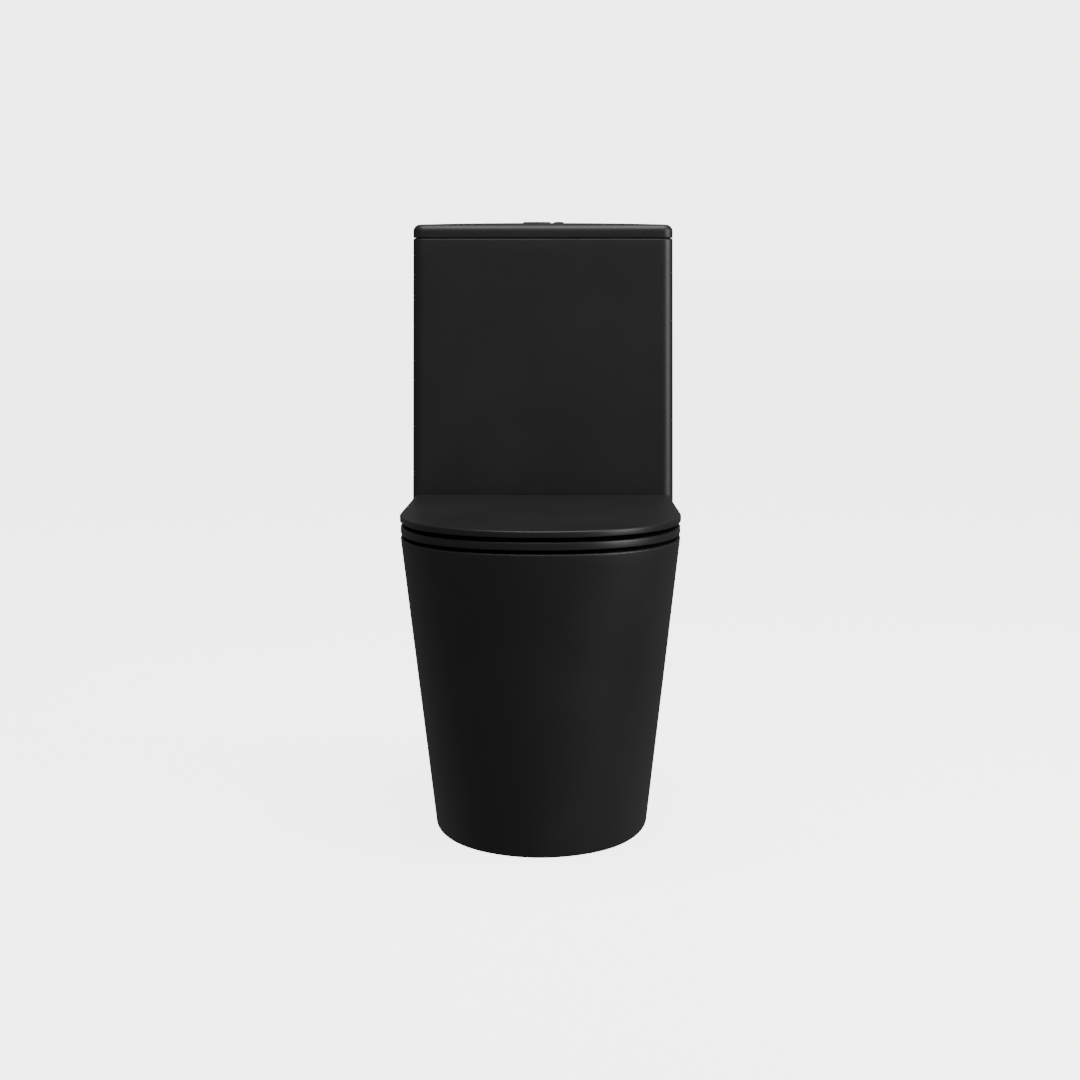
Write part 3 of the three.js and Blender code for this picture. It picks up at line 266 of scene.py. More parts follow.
def pan_rows():
    """Rows from the middle of the sump up the bowl, over its mouth, across the rim, down the
    outside of the skirt, under its foot, up its inside and down the outside of the bowl."""
    depth = PAN_TOP - SUMP_FLOOR
    rows = []
    centre = np.array([[0, MOUTH_BACK - 66]])
    floor = bowl_section(0, 0)
    for share in (0, 0.3, 0.6, 0.85):
        rows.append(lift(centre + (floor - centre) * share,
                         SUMP_FLOOR - SUMP_DISH * (1 - share ** 2)))
    top_share = 1 - MOUTH_ROUND / depth
    for share in np.linspace(0, top_share, 56):
        rows.append(lift(bowl_section(share, 0), SUMP_FLOOR + share * depth))
    mouth = bowl_section(top_share, 0)
    for angle in np.linspace(0, pi / 2, 8)[1:]:
        spread = MOUTH_ROUND * (1 - cos(angle))
        rows.append(lift(inset(mouth, -spread), PAN_TOP - MOUTH_ROUND * (1 - sin(angle))))
    rim_edge = lift(inset(rim, RIM_ROUND), PAN_TOP)
    rows.extend(blend_rows(rows[-1], rim_edge, np.linspace(0, 1, 14)[1:]))
    for angle in np.linspace(pi / 2, 0, 7)[1:]:
        z = PAN_TOP - RIM_ROUND * (1 - sin(angle))
        row = at_height(foot, rim, z)
        row[:, :2] = inset(row[:, :2], RIM_ROUND * (1 - cos(angle)))
        rows.append(row)
    for z in np.linspace(PAN_TOP - RIM_ROUND, FOOT_BEVEL, 30)[1:]:
        rows.append(at_height(foot, rim, z))
    rows.append(lift(inset(foot, FOOT_BEVEL), 0))
    for z in np.linspace(0, DECK_UNDER, 12):
        rows.append(at_height(foot_inner, rim_inner, z))
    under_share = (DECK_UNDER - SUMP_FLOOR) / depth
    under = lift(bowl_section(under_share, CHINA), DECK_UNDER)
    rows.extend(blend_rows(rows[-1], under, np.linspace(0, 1, 8)[1:]))
    for share in np.linspace(under_share, 0, 30)[1:]:
        rows.append(lift(bowl_section(share, CHINA),
                         SUMP_FLOOR + share * depth - CHINA * (1 - share) ** 4))
    floor = rows[-1][:, :2]
    for share in (0.8, 0.5, 0):
        rows.append(lift(centre + (floor - centre) * share,
                         SUMP_FLOOR - CHINA - SUMP_DISH * (1 - share ** 2)))
    return np.array(rows)


def sweep(path, radius, sides=40):
    """Rings round a path in the X = 0 plane: each ring lies in the plane across the path."""
    along = np.gradient(path, axis=0)
    along /= np.linalg.norm(along, axis=1, keepdims=True)
    turn = np.linspace(0, 2 * pi, sides, endpoint=False)
    across = np.column_stack([np.zeros(len(path)), -along[:, 1], along[:, 0]])
    radius = np.broadcast_to(radius, len(path))[:, None, None]
    middle = np.column_stack([np.zeros(len(path)), path])[:, None]
    side = np.array([1.0, 0, 0])
    return middle + radius * (np.cos(turn)[None, :, None] * side
                              + np.sin(turn)[None, :, None] * across[:, None])


def arc(centre, radius, start, end, count=16):
    """Points of an arc in the YZ plane, angles in degrees from +Y."""
    angle = np.radians(np.linspace(start, end, count))
    return np.array(centre) + radius * np.column_stack([np.cos(angle), np.sin(angle)])


def close_ends(rows):
    """Adds a point row at each end, so a stack of rings is a closed solid."""
    first, last = rows[0].mean(0), rows[-1].mean(0)
    return np.concatenate([np.broadcast_to(first, rows[:1].shape), rows,
                           np.broadcast_to(last, rows[:1].shape)])


TRAP_BORE, TRAP_WALL, TRAP_BEND = 38, 8, 57
OUTLET_Z, WEIR_Z, SPIGOT_END = 180, 220, WALL_Y - 20
SUMP_Y, TRAP_LEVEL = MOUTH_BACK - 60, 45


def trap_path(start, end):
    """Middle line of the trap: level out of the sump, up over the weir and down to the spigot, in
    straight lines joined by arcs of one radius."""
    entry = SUMP_FLOOR + TRAP_BORE
    rise = SUMP_Y + TRAP_LEVEL + TRAP_BEND
    weir = rise + TRAP_BEND
    fall = np.degrees(np.arccos(1 - (WEIR_Z - OUTLET_Z) / (2 * TRAP_BEND)))
    level = weir + 2 * TRAP_BEND * sin(radians(fall))
    return np.concatenate([
        np.linspace((SUMP_Y + start, entry), (rise - TRAP_BEND, entry), 6)[:-1],
        arc((rise - TRAP_BEND, entry + TRAP_BEND), TRAP_BEND, -90, 0),
        arc((weir, WEIR_Z - TRAP_BEND), TRAP_BEND, 180, 90 - fall)[1:],
        arc((level, OUTLET_Z + TRAP_BEND), TRAP_BEND, -90 - fall, -90)[1:],
        np.linspace((level, OUTLET_Z), (end, OUTLET_Z), 8)[1:],
    ])


def shaped(piece, added, cutters):
    """Joins solids to a piece and then takes others out of it, with exact booleans, merges
    what they leave doubled and fills what they leave open."""
    for other, way in [(o, "UNION") for o in added] + [(o, "DIFFERENCE") for o in cutters]:
        step = piece.modifiers.new("shape", "BOOLEAN")
        step.operation, step.solver, step.object = way, "EXACT", other
    graph = bpy.context.evaluated_depsgraph_get()
    mesh = bpy.data.meshes.new_from_object(piece.evaluated_get(graph))
    piece.modifiers.clear()
    piece.data = mesh
    mesh.name = piece.name
    for other in (*added, *cutters):
        bpy.data.objects.remove(other)
    work = bmesh.new()
    work.from_mesh(mesh)
    crumb = 2e-6
    bmesh.ops.remove_doubles(work, verts=work.verts, dist=crumb)
    bmesh.ops.dissolve_degenerate(work, edges=work.edges, dist=crumb)
    bmesh.ops.holes_fill(work, edges=[edge for edge in work.edges if edge.is_boundary], sides=0)
    bmesh.ops.recalc_face_normals(work, faces=work.faces)
    work.to_mesh(mesh)
    work.free()
    mesh.polygons.foreach_set("use_smooth", np.ones(len(mesh.polygons), bool))
    mesh.set_sharp_from_angle(angle=radians(35))


def drum(name, radius, z0, z1, x=0.0, y=0.0, sides=48):
    """Upright round plug: a circle at two heights."""
    turn = np.linspace(0, 2 * pi, sides, endpoint=False)
    ring = np.column_stack([x + radius * np.cos(turn), y + radius * np.sin(turn)])
    return grid_piece(name, close_ends(np.array([lift(ring, z0), lift(ring, z1)])), glaze)


def crossbar(name, radius, x0, x1, y, z, sides=32):
    """Round plug along X: a circle at its two ends."""
    turn = np.linspace(0, 2 * pi, sides, endpoint=False)
    ring = np.column_stack([0 * turn, y + radius * np.cos(turn), z + radius * np.sin(turn)])
    return grid_piece(name, close_ends(np.array([ring + [x0, 0, 0], ring + [x1, 0, 0]])), glaze)


BEZEL_LOW, BEZEL_HIGH = box_of("flush_button_bezel")
VALVE_Y = (BEZEL_LOW[1] + BEZEL_HIGH[1]) / 2
RECESS_Z, RECESS_RADIUS, VALVE_HOLE, WAY_WALL = PAN_TOP - 22, 57.5, 34, 8
WAY_Z, WAY_BORE = 348, 28
HINGE_X, HINGE_Y, HINGE_HOLE = 77.5, box_of("seat_lid")[1][1] - 10, 7.9
COUPLING_X, COUPLING_HOLE, FILL_X, FILL_HOLE = 80, 7, -130, 21.5
SCREW_Y, SCREW_Z, SCREW_HOLE, SCREW_SEAT, SCREW_SEAT_DEPTH = 200, 35, 4, 8.5, 6
SPIGOT_LENGTH, SPIGOT_RADIUS = 50, 51.0
PAST = 5  # how far a cutter runs past the wall that it opens
trap_outside = trap_path(14, SPIGOT_END)
on_spigot = trap_outside[:, 0] > SPIGOT_END - SPIGOT_LENGTH
trap_width = np.where(on_spigot, SPIGOT_RADIUS, TRAP_BORE + TRAP_WALL)


def way_round(name, start, dome, *widths):
    """Flush way: a tube from the bowl to the drop, closed behind it by a dome of two steps."""
    path = np.array([(start, WAY_Z), (VALVE_Y, WAY_Z)] + [(VALVE_Y + step, WAY_Z) for step in dome])
    return grid_piece(name, close_ends(sweep(path, np.array(widths))), glaze)


pan = grid_piece("pan_china", pan_rows(), glaze, 38)
pan_added = [
    grid_piece("trap", close_ends(sweep(trap_outside, trap_width)), glaze),
    drum("flush_cup", RECESS_RADIUS + WAY_WALL, RECESS_Z - 14, PAN_TOP - 0.5, 0, VALVE_Y, 72),
    drum("flush_drop", WAY_BORE + WAY_WALL, WAY_Z, RECESS_Z - 10, 0, VALVE_Y),
    way_round("flush_way", MOUTH_BACK + 4, (18, 31), 36.0, 36.0, 31.2, 18.3),
]
back_half = FOOT_HALF - CHINA + (RIM_HALF - FOOT_HALF) * np.array([-1, DECK_UNDER]) / PAN_TOP
pan_cutters = [
    grid_piece("back_opening", close_ends(np.array([
        [(-half, WALL_Y - 16, z), (half, WALL_Y - 16, z),
         (half, WALL_Y + PAST, z), (-half, WALL_Y + PAST, z)]
        for half, z in zip(back_half, (-1, DECK_UNDER))])), glaze),
    grid_piece("trap_bore", close_ends(sweep(trap_path(-8, SPIGOT_END + PAST), TRAP_BORE)), glaze),
    way_round("way_bore", MOUTH_BACK - 25, (14, 24), 28.0, 28.0, 24.2, 14.4),
    drum("drop_bore", WAY_BORE, WAY_Z, PAN_TOP, 0, VALVE_Y),
    drum("valve_hole", VALVE_HOLE, RECESS_Z - 8, PAN_TOP, 0, VALVE_Y),
    drum("recess", RECESS_RADIUS, RECESS_Z, PAN_TOP + PAST, 0, VALVE_Y, 72),
    drum("fill_hole", FILL_HOLE, DECK_UNDER - PAST, PAN_TOP + PAST, FILL_X, VALVE_Y),
]
side_wall = FOOT_HALF + (RIM_HALF - FOOT_HALF) * SCREW_Z / PAN_TOP
for side in (-1, 1):
    through, screw_end = (DECK_UNDER - PAST, PAN_TOP + PAST), side * (side_wall + PAST)
    pan_cutters += [
        drum("coupling_hole", COUPLING_HOLE, *through, side * COUPLING_X, VALVE_Y, 32),
        drum("hinge_hole", HINGE_HOLE, *through, side * HINGE_X, HINGE_Y, 32),
        crossbar("screw_hole", SCREW_HOLE, side * (side_wall - 25), screw_end, SCREW_Y, SCREW_Z),
        crossbar("screw_seat", SCREW_SEAT, side * (side_wall - SCREW_SEAT_DEPTH), screw_end,
                 SCREW_Y, SCREW_Z, 48),
    ]
shaped(pan, pan_added, pan_cutters)
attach(pan, "pan_and_cistern")
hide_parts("pan")

# ------------------------------------------------------------------ cistern body
# A slip-cast china tank in the same satin black glaze. Its front corners are full and round, its
# top edge is finished with a small round, and it is open at the top.


def box_outline(half, front, back, radius):
    """Rectangle with round corners, anticlockwise from the front's middle."""
    def corner(x, y, start):
        """Quarter circle round a corner's centre, from an angle in degrees."""
        angle = np.radians(np.linspace(start, start + 90, 14))
        return np.column_stack([x + radius * np.cos(angle), y + radius * np.sin(angle)])
    front_right = corner(half - radius, front + radius, -90)
    back_right = corner(half - radius, back - radius, 0)
    right = np.concatenate([
        line((0, front), front_right[0], 24), front_right,
        line(front_right[-1], back_right[0], 18)[:-1], back_right,
        line(back_right[-1], (0, back), 24),
    ])
    return mirrored(np.concatenate([[(0, front)], right]))


TANK_LOW, TANK_HIGH = box_of("cistern_body")
TANK_FACE, TANK_BACK, TANK_BASE, TANK_TOP = TANK_LOW[1], TANK_HIGH[1], TANK_LOW[2], TANK_HIGH[2]
TANK_FOOT_HALF, TANK_TOP_HALF, TANK_CORNER = TANK_HIGH[0], 182.4, 15
TANK_ROUND, TANK_WALL, TANK_FLOOR, TANK_FOOT_ROUND = 2.4, 10, 12, 6
TANK_MIDDLE = 80  # depth at which an outline is down to a narrow strip in the middle


def tank_outline(z, depth):
    """Plan of the tank at a height, moved inwards by a depth. Its half width runs straight from
    the foot's to the top's."""
    share = (z - TANK_BASE) / (TANK_TOP - TANK_BASE)
    half = TANK_FOOT_HALF + (TANK_TOP_HALF - TANK_FOOT_HALF) * share
    return lift(box_outline(half - depth, TANK_FACE + depth, TANK_BACK - depth,
                            max(TANK_CORNER - depth, 3)), z)


def rounded_edge(z, depth, radius, z_way, start, end, count=6):
    """Heights and depths along an arc of an edge whose outer line is at a height and a depth."""
    angles = np.linspace(start, end, count)
    return [(z - z_way * radius * (1 - sin(a)), depth + radius * (1 - cos(a))) for a in angles]


tank_steps = [(TANK_BASE, TANK_MIDDLE)]
tank_steps += rounded_edge(TANK_BASE, 0, TANK_FOOT_ROUND, -1, pi / 2, 0)
tank_steps += [(z, 0) for z in np.linspace(TANK_BASE + 20, TANK_TOP - 20, 12)]
tank_steps += rounded_edge(TANK_TOP, 0, TANK_ROUND, 1, 0, pi / 2)
tank_steps += [(TANK_TOP, TANK_WALL - 2), (TANK_TOP - 2, TANK_WALL)]
tank_steps += [(z, TANK_WALL) for z in np.linspace(TANK_TOP - 20, TANK_BASE + TANK_FLOOR + 8, 6)]
tank_steps += [(TANK_BASE + TANK_FLOOR + 2, TANK_WALL + 2),
               (TANK_BASE + TANK_FLOOR, TANK_WALL + 8), (TANK_BASE + TANK_FLOOR, TANK_MIDDLE)]
tank_rows = np.array([tank_outline(z, depth) for z, depth in tank_steps])
tank = grid_piece("cistern_body_china", close_ends(tank_rows), glaze, 38)
tank_holes = [(31, 0), (10.5, FILL_X), (COUPLING_HOLE, -COUPLING_X), (COUPLING_HOLE, COUPLING_X)]
shaped(tank, [], [drum("tank_hole", radius, TANK_BASE - PAST, TANK_BASE + 20, x, VALVE_Y)
                  for radius, x in tank_holes])
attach(tank, "pan_and_cistern")
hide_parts("cistern_body")

# ------------------------------------------------------------------ cistern lid
# A loose china lid: a soft round along its top edge, a slightly crowned top, a lip underneath that
# keeps it in place, and a sunk round seat for the push button.
LID_HIGH = box_of("cistern_lid")[1]
COVER_BASE = TANK_TOP + 0.3
COVER_EDGE_TOP, COVER_CROWN, COVER_FILLET = LID_HIGH[2] - 2, 2, 10
COVER_HALF, COVER_ROUND = LID_HIGH[0], 2
CUP_RADIUS, CUP_FLOOR, TUBE_HOLE = 30.4, LID_HIGH[2] - 10.3, 25.1
LIP_DEPTH, CROWN_POWER = 10, 2.4


def cover_outline(depth):
    """Lid's plan, moved inwards by a depth."""
    return box_outline(COVER_HALF - depth, TANK_FACE + depth, TANK_BACK - depth,
                       max(TANK_CORNER - depth, 2.5))


COVER_BEARING = np.arctan2(cover_outline(0)[:, 1] - VALVE_Y, cover_outline(0)[:, 0])


def hole(radius):
    """Circle round the button's middle, at the same bearings as the lid's outline."""
    return np.column_stack([radius * np.cos(COVER_BEARING),
                            VALVE_Y + radius * np.sin(COVER_BEARING)])


def crown(plan):
    """Top's height: highest in the middle, falling to each edge as a power of the way there."""
    across = np.clip(np.abs(plan[:, 0]) / (COVER_HALF - COVER_FILLET), 0, 1)
    half_depth = (TANK_BACK - TANK_FACE) / 2 - COVER_FILLET
    deep = np.clip(np.abs(plan[:, 1] - VALVE_Y) / half_depth, 0, 1)
    return COVER_EDGE_TOP + COVER_CROWN * (1 - across ** CROWN_POWER) * (1 - deep ** CROWN_POWER)


def cover_rows():
    """Rows from the button's seat across the crowned top, over the edge, under it to the lip,
    down and up the lip, and back along the underside to the hole."""
    rows = []
    mouth, edge = hole(CUP_RADIUS + 0.6), cover_outline(COVER_FILLET)
    for share in np.linspace(0, 1, 30) ** 1.3:
        plan = mouth * (1 - share) + edge * share
        rows.append(lift(plan, crown(plan)))
    for angle in np.linspace(pi / 2, 0, 14)[1:]:
        depth = COVER_FILLET * (1 - cos(angle))
        rows.append(lift(cover_outline(depth), COVER_EDGE_TOP - COVER_FILLET * (1 - sin(angle))))
    for angle in np.linspace(0, pi / 2, 6):
        depth = COVER_ROUND * (1 - cos(angle))
        rows.append(lift(cover_outline(depth), COVER_BASE + COVER_ROUND * (1 - sin(angle))))
    plate = COVER_EDGE_TOP - 10
    lip = COVER_BASE - LIP_DEPTH
    steps = [(12, COVER_BASE), (12, lip + 2), (13.5, lip), (16.5, lip), (18, lip + 2),
             (18, plate - 6), (24, plate)]
    rows.extend(lift(cover_outline(depth), z) for depth, z in steps)
    boss = CUP_FLOOR - 6.5
    for radius, z in [(40, plate), (37, plate - 1), (36, boss), (TUBE_HOLE, boss),
                      (TUBE_HOLE, CUP_FLOOR), (CUP_RADIUS, CUP_FLOOR),
                      (CUP_RADIUS, LID_HIGH[2] - 0.7)]:
        rows.append(lift(hole(radius), z))
    return np.array(rows + rows[:1])


cover = grid_piece("cistern_lid_china", cover_rows(), glaze, 38)
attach(cover, "cistern_lid")
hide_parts("cistern_lid")

# ------------------------------------------------------------------ dual flush button
# A round button in a shallow cup, in two parts with a groove between them: the large one for a
# full flush and the small one for half. Moulded plastic, in the ceramic's satin black.
button_black = finish("button_black", (0.012, 0.012, 0.012), 1.3, 0.26, 0.33, 500, 3400)
BUTTON_RADIUS, BUTTON_ROUND, BUTTON_CROWN, BUTTON_HEIGHT = 28.8, 0.9, 0.15, 3.2
FULL_ROD_X, HALF_ROD_X, ROD_Y, STEM_RADIUS, COLLAR_RADIUS = -12, 18, VALVE_Y - 3, 3, 4.2
AXIS = 0.01  # radius of a profile's ends on its axis


def turned(name, profile, x, y, material, sides=64, sharp=40):
    """Surface of revolution: a closed profile of radius and height, turned round an upright
    axis."""
    turn = np.linspace(0, 2 * pi, sides, endpoint=False)
    radius, z = np.asarray(profile, float).T
    rows = np.stack([
        x + radius[:, None] * np.cos(turn),
        y + radius[:, None] * np.sin(turn),
        np.broadcast_to(z[:, None], (len(z), sides)),
    ], -1)
    return grid_piece(name, np.concatenate([rows, rows[:1]]), material, sharp)


def button_piece(name, node, keep, chord, rod_x):
    """Cap of a round button cut by a chord: one outline shrunk towards its middle, row by row,
    round the edge and over the crown. Its stem and collar are turned."""
    low, high = box_of(node)
    stem_base, top = low[2], high[2]
    base = top - BUTTON_HEIGHT
    reach = np.arccos(chord / BUTTON_RADIUS * keep)
    turn = np.linspace(-reach, reach, 72)
    rim_line = BUTTON_RADIUS * np.column_stack([keep * np.cos(turn), keep * np.sin(turn)])
    straight = line(rim_line[-1], rim_line[0], 24)[:-1]
    plan = np.concatenate([rim_line, straight])
    middle = plan.mean(0)
    size = np.abs(plan - middle).max()

    def ring(depth, z):
        """The outline moved towards its middle by a depth, at a height."""
        return lift(middle + (plan - middle) * (1 - depth / size) + [0, VALVE_Y], z)

    rows = [ring(size, base), ring(0.3, base), ring(0, base + 0.3)]
    rows += [ring(BUTTON_ROUND * (1 - cos(a)), top - BUTTON_ROUND * (1 - sin(a)) - BUTTON_CROWN)
             for a in np.linspace(0, pi / 2, 6)]
    rows += [ring(share * size, top - BUTTON_CROWN * (1 - share)) for share in (0.2, 0.5, 0.8, 1)]
    cap = grid_piece(name, np.array(rows), button_black, 50)
    stem = turned(name + "_stem", [
        (AXIS, stem_base), (COLLAR_RADIUS - 0.4, stem_base), (COLLAR_RADIUS, stem_base + 0.4),
        (COLLAR_RADIUS, stem_base + 2), (STEM_RADIUS, stem_base + 2.2), (STEM_RADIUS, base + 0.5),
        (AXIS, base + 0.5)], rod_x, ROD_Y, button_black, 32)
    shaped(cap, [stem], [])
    return cap


full_button = button_piece("full_flush_cap", "full_flush_button", -1, 9.3, FULL_ROD_X)
half_button = button_piece("half_flush_cap", "half_flush_button", 1, 15, HALF_ROD_X)
for piece, body, node in ((full_button, "full_button", "full_flush_button"),
                          (half_button, "half_button", "half_flush_button")):
    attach(piece, body)
    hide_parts(node)

CUP_TOP, TUBE_END = BEZEL_HIGH[2], BEZEL_LOW[2]
CUP_BASE = CUP_TOP - 10
bezel = turned("flush_button_cup", [
    (29.1, CUP_TOP - 0.15), (29.1, CUP_BASE + 1.5), (23, CUP_BASE + 1.5), (23, TUBE_END + 1.5),
    (AXIS, TUBE_END + 1.5), (AXIS, TUBE_END), (24.2, TUBE_END), (24.6, TUBE_END + 0.5),
    (24.6, CUP_BASE), (29.5, CUP_BASE), (29.9, CUP_BASE + 0.4), (29.9, CUP_TOP - 0.2),
    (29.7, CUP_TOP), (29.3, CUP_TOP),
], 0, VALVE_Y, button_black, 96)
web_way = np.linspace(-1, 1, 24)
web_line = np.concatenate([
    np.column_stack([np.full(24, 14.6), web_way * 24.9]),
    np.column_stack([np.full(24, 9.7), -web_way * 27.2]),
]) + [0, VALVE_Y]
web_middle = web_line.mean(0)
web_base, web_top = CUP_BASE + 1, CUP_TOP - 1.9
web_steps = (0, web_base), (1, web_base), (1, web_top - 0.3), (0.94, web_top), (0, web_top)
web = grid_piece("bezel_web", np.array([
    lift(web_middle + (web_line - web_middle) * share, z) for share, z in web_steps
]), button_black, 50)
shaped(bezel, [web], [drum("rod_hole", 3, TUBE_END - 2, TUBE_END + 4, x, ROD_Y, 24)
                      for x in (FULL_ROD_X, HALF_ROD_X)])
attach(bezel, "cistern_lid")
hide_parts("flush_button_bezel")

# ------------------------------------------------------------------ seat ring
# Compression-moulded duroplast, a slim flat ring with a large soft round inside the mouth and small
# ones outside. Two knuckles at the back hold the dampers and turn on the hinge pins.
duroplast = finish("black_duroplast", (0.0083, 0.0081, 0.0078), 1.35, 0.36, 0.44, 420, 3000)
SEAT_LOW, SEAT_HIGH = box_of("seat_ring")
SHUT_LOW, SHUT_HIGH = box_of("seat_lid")
AXIS_Y, AXIS_Z, KNUCKLE = HINGE_Y, SEAT_HIGH[2] - 7.5, 7.5
RING_BASE, RING_TOP = SEAT_LOW[2], SEAT_LOW[2] + 10.8
SEAT_MOUTH_HALF, SEAT_MOUTH_FRONT, SEAT_MOUTH_BACK = 112, 154.0, 126.0


def seat_outline(half, tip, back, back_half, corner):
    """Seat's plan: the nose, a side that narrows to the back, a small round corner, a flat back."""
    quarter = nose_quarter(half, tip, *RIM_NOSE, 84)
    turn = np.radians(np.linspace(0, 90, 12))
    end = np.column_stack([back_half - corner + corner * np.cos(turn),
                           back - corner + corner * np.sin(turn)])
    side = line(quarter[-1], end[0], 40)[:-1]
    return mirrored(np.concatenate([quarter, side, end, line(end[-1], (0, back), 30)]))


ring_plan = seat_outline(SEAT_HIGH[0], SEAT_LOW[1], AXIS_Y - KNUCKLE - 5, SEAT_HIGH[0] - 6.3, 5)
MOUTH_MID = SEAT_LOW[1] + 76 + SEAT_MOUTH_FRONT
RING_BEARING = np.arctan2(ring_plan[:, 1] - MOUTH_MID, ring_plan[:, 0])


def seat_mouth(grow):
    """Egg-shaped mouth of the ring: two half ellipses, at the bearings of its outer outline."""
    reach = np.where(np.sin(RING_BEARING) < 0, SEAT_MOUTH_FRONT, SEAT_MOUTH_BACK) + grow
    half = SEAT_MOUTH_HALF + grow
    turn = np.arctan2(np.sin(RING_BEARING) / reach, np.cos(RING_BEARING) / half)
    return np.column_stack([half * np.cos(turn), MOUTH_MID + reach * np.sin(turn)])


def ring_rows():
    """Rows across the ring's section: underside, outer edge, top that falls towards the mouth,
    and the round of the mouth."""
    rows = []
    under, top, soft, inner, slope, fall = 1.6, 2.6, 9, 3.4, 0.8, 6
    for angle in np.linspace(pi / 2, 0, 5):
        rows.append(lift(inset(ring_plan, under * (1 - cos(angle))),
                         RING_BASE + under * (1 - sin(angle))))
    for angle in np.linspace(0, pi / 2, 8):
        rows.append(lift(inset(ring_plan, top * (1 - cos(angle))),
                         RING_TOP - top * (1 - sin(angle))))
    outer, inside = rows[-1][:, :2], seat_mouth(soft)
    for share in np.linspace(0, 1, 16)[1:]:
        rows.append(lift(outer * (1 - share) + inside * share, RING_TOP - slope * share ** 2))
    for angle in np.linspace(pi / 2, 0, 8)[1:]:
        rows.append(lift(seat_mouth(soft * (1 - cos(angle))),
                         RING_TOP - slope - fall * (1 - sin(angle))))
    for angle in np.linspace(0, pi / 2, 6)[1:]:
        rows.append(lift(seat_mouth(inner * (1 - cos(angle))),
                         RING_BASE + inner * (1 - sin(angle))))
    return np.array(rows + rows[:1])


def bar_x(name, plan, x0, x1, edge, material):
    """Bar along X: a closed outline in the YZ plane between two ends, shrunk at each for a small
    bevel."""
    middle = plan.mean(0)
    small = middle + (plan - middle) * (1 - edge / np.abs(plan - middle).max())
    ends = ((x0, middle[None] + 0 * plan), (x0, small), (x0 + edge, plan), (x1 - edge, plan),
            (x1, small), (x1, middle[None] + 0 * plan))
    rows = np.array([np.column_stack([np.full(len(p), x), p]) for x, p in ends])
    return grid_piece(name, rows, material, 35)


def knuckle_plan(start, end, *tail):
    """Round of the knuckle between two angles, then the corners of the arm that carries it."""
    return np.concatenate([arc((AXIS_Y, AXIS_Z), KNUCKLE, start, end, 40), np.array(tail, float)])


POST_HALF, KNUCKLE_WIDTH, KNUCKLE_BEVEL = 4, 21, 0.8
PIN_BORE, DAMPER_BORE = 3.3, 5.5
ARM_END = AXIS_Y - KNUCKLE - 9
ring_arm = knuckle_plan(-120, 95, (ARM_END, RING_TOP - 0.4), (ARM_END, RING_BASE + 3))


def knuckles(plate, plan, direction):
    """Adds an arm with its knuckle on each side of a plate, and bores it for the pin and damper.
    direction is 1 for knuckles outside the posts and -1 for those inside."""
    arms, bores = [], []
    for side in (-1, 1):
        near = side * (HINGE_X + direction * (POST_HALF + 1))
        far = near + side * direction * KNUCKLE_WIDTH
        step = side * direction
        low, high = min(near, far), max(near, far)
        arms.append(bar_x("arm", plan, low, high, KNUCKLE_BEVEL, duroplast))
        bores += [crossbar("pin_bore", PIN_BORE, near - step, far + step, AXIS_Y, AXIS_Z),
                  crossbar("damper_bore", DAMPER_BORE, near + 2 * step, far + step, AXIS_Y, AXIS_Z)]
    shaped(plate, arms, bores)


ring = grid_piece("seat_ring_moulding", ring_rows(), duroplast, 45)
knuckles(ring, ring_arm, -1)
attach(ring, "seat_ring")
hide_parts("seat_ring")

# ------------------------------------------------------------------ seat lid
# The same moulding, as a thin flat lid with a turned-down edge and a hollow underside. Its ears
# hang behind it on the outer ends of the hinge pins.
LID_TOP, LID_BASE = SHUT_HIGH[2], SHUT_HIGH[2] - 8.8
LID_UNDER = LID_TOP - 5
lid_plan = seat_outline(SHUT_HIGH[0], SHUT_LOW[1], SHUT_HIGH[1], 178.5, 8)


def lid_rows():
    """Rows from the top's middle line to its edge, down the edge, and across the underside."""
    spine = np.column_stack([np.zeros(len(lid_plan)), np.clip(lid_plan[:, 1], -150, 60)])
    rows = []
    top, under, fall = 2.2, 1.2, 0.25
    flat = inset(lid_plan, top)
    for share in np.linspace(0, 1, 20) ** 0.8:
        rows.append(lift(spine * (1 - share) + flat * share, LID_TOP - fall * share ** 6))
    for angle in np.linspace(pi / 2, 0, 8)[1:]:
        rows.append(lift(inset(lid_plan, top * (1 - cos(angle))),
                         LID_TOP - fall - top * (1 - sin(angle))))
    for angle in np.linspace(0, pi / 2, 5):
        rows.append(lift(inset(lid_plan, under * (1 - cos(angle))),
                         LID_BASE + under * (1 - sin(angle))))
    rows += [lift(inset(lid_plan, 5.2), LID_BASE), lift(inset(lid_plan, 6), LID_BASE + 0.8),
             lift(inset(lid_plan, 6), LID_UNDER - 1), lift(inset(lid_plan, 7.5), LID_UNDER)]
    for share in np.linspace(0, 1, 10)[1:]:
        rows.append(lift(inset(lid_plan, 7.5) * (1 - share) + spine * share, LID_UNDER))
    return np.array(rows)


lid_ear = knuckle_plan(-180, 0, (AXIS_Y + 6.5, LID_UNDER + 1), (AXIS_Y - 6.5, LID_UNDER + 1))
lid = grid_piece("seat_lid_moulding", lid_rows(), duroplast, 45)
knuckles(lid, lid_ear, 1)
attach(lid, "seat_lid")
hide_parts("seat_lid")

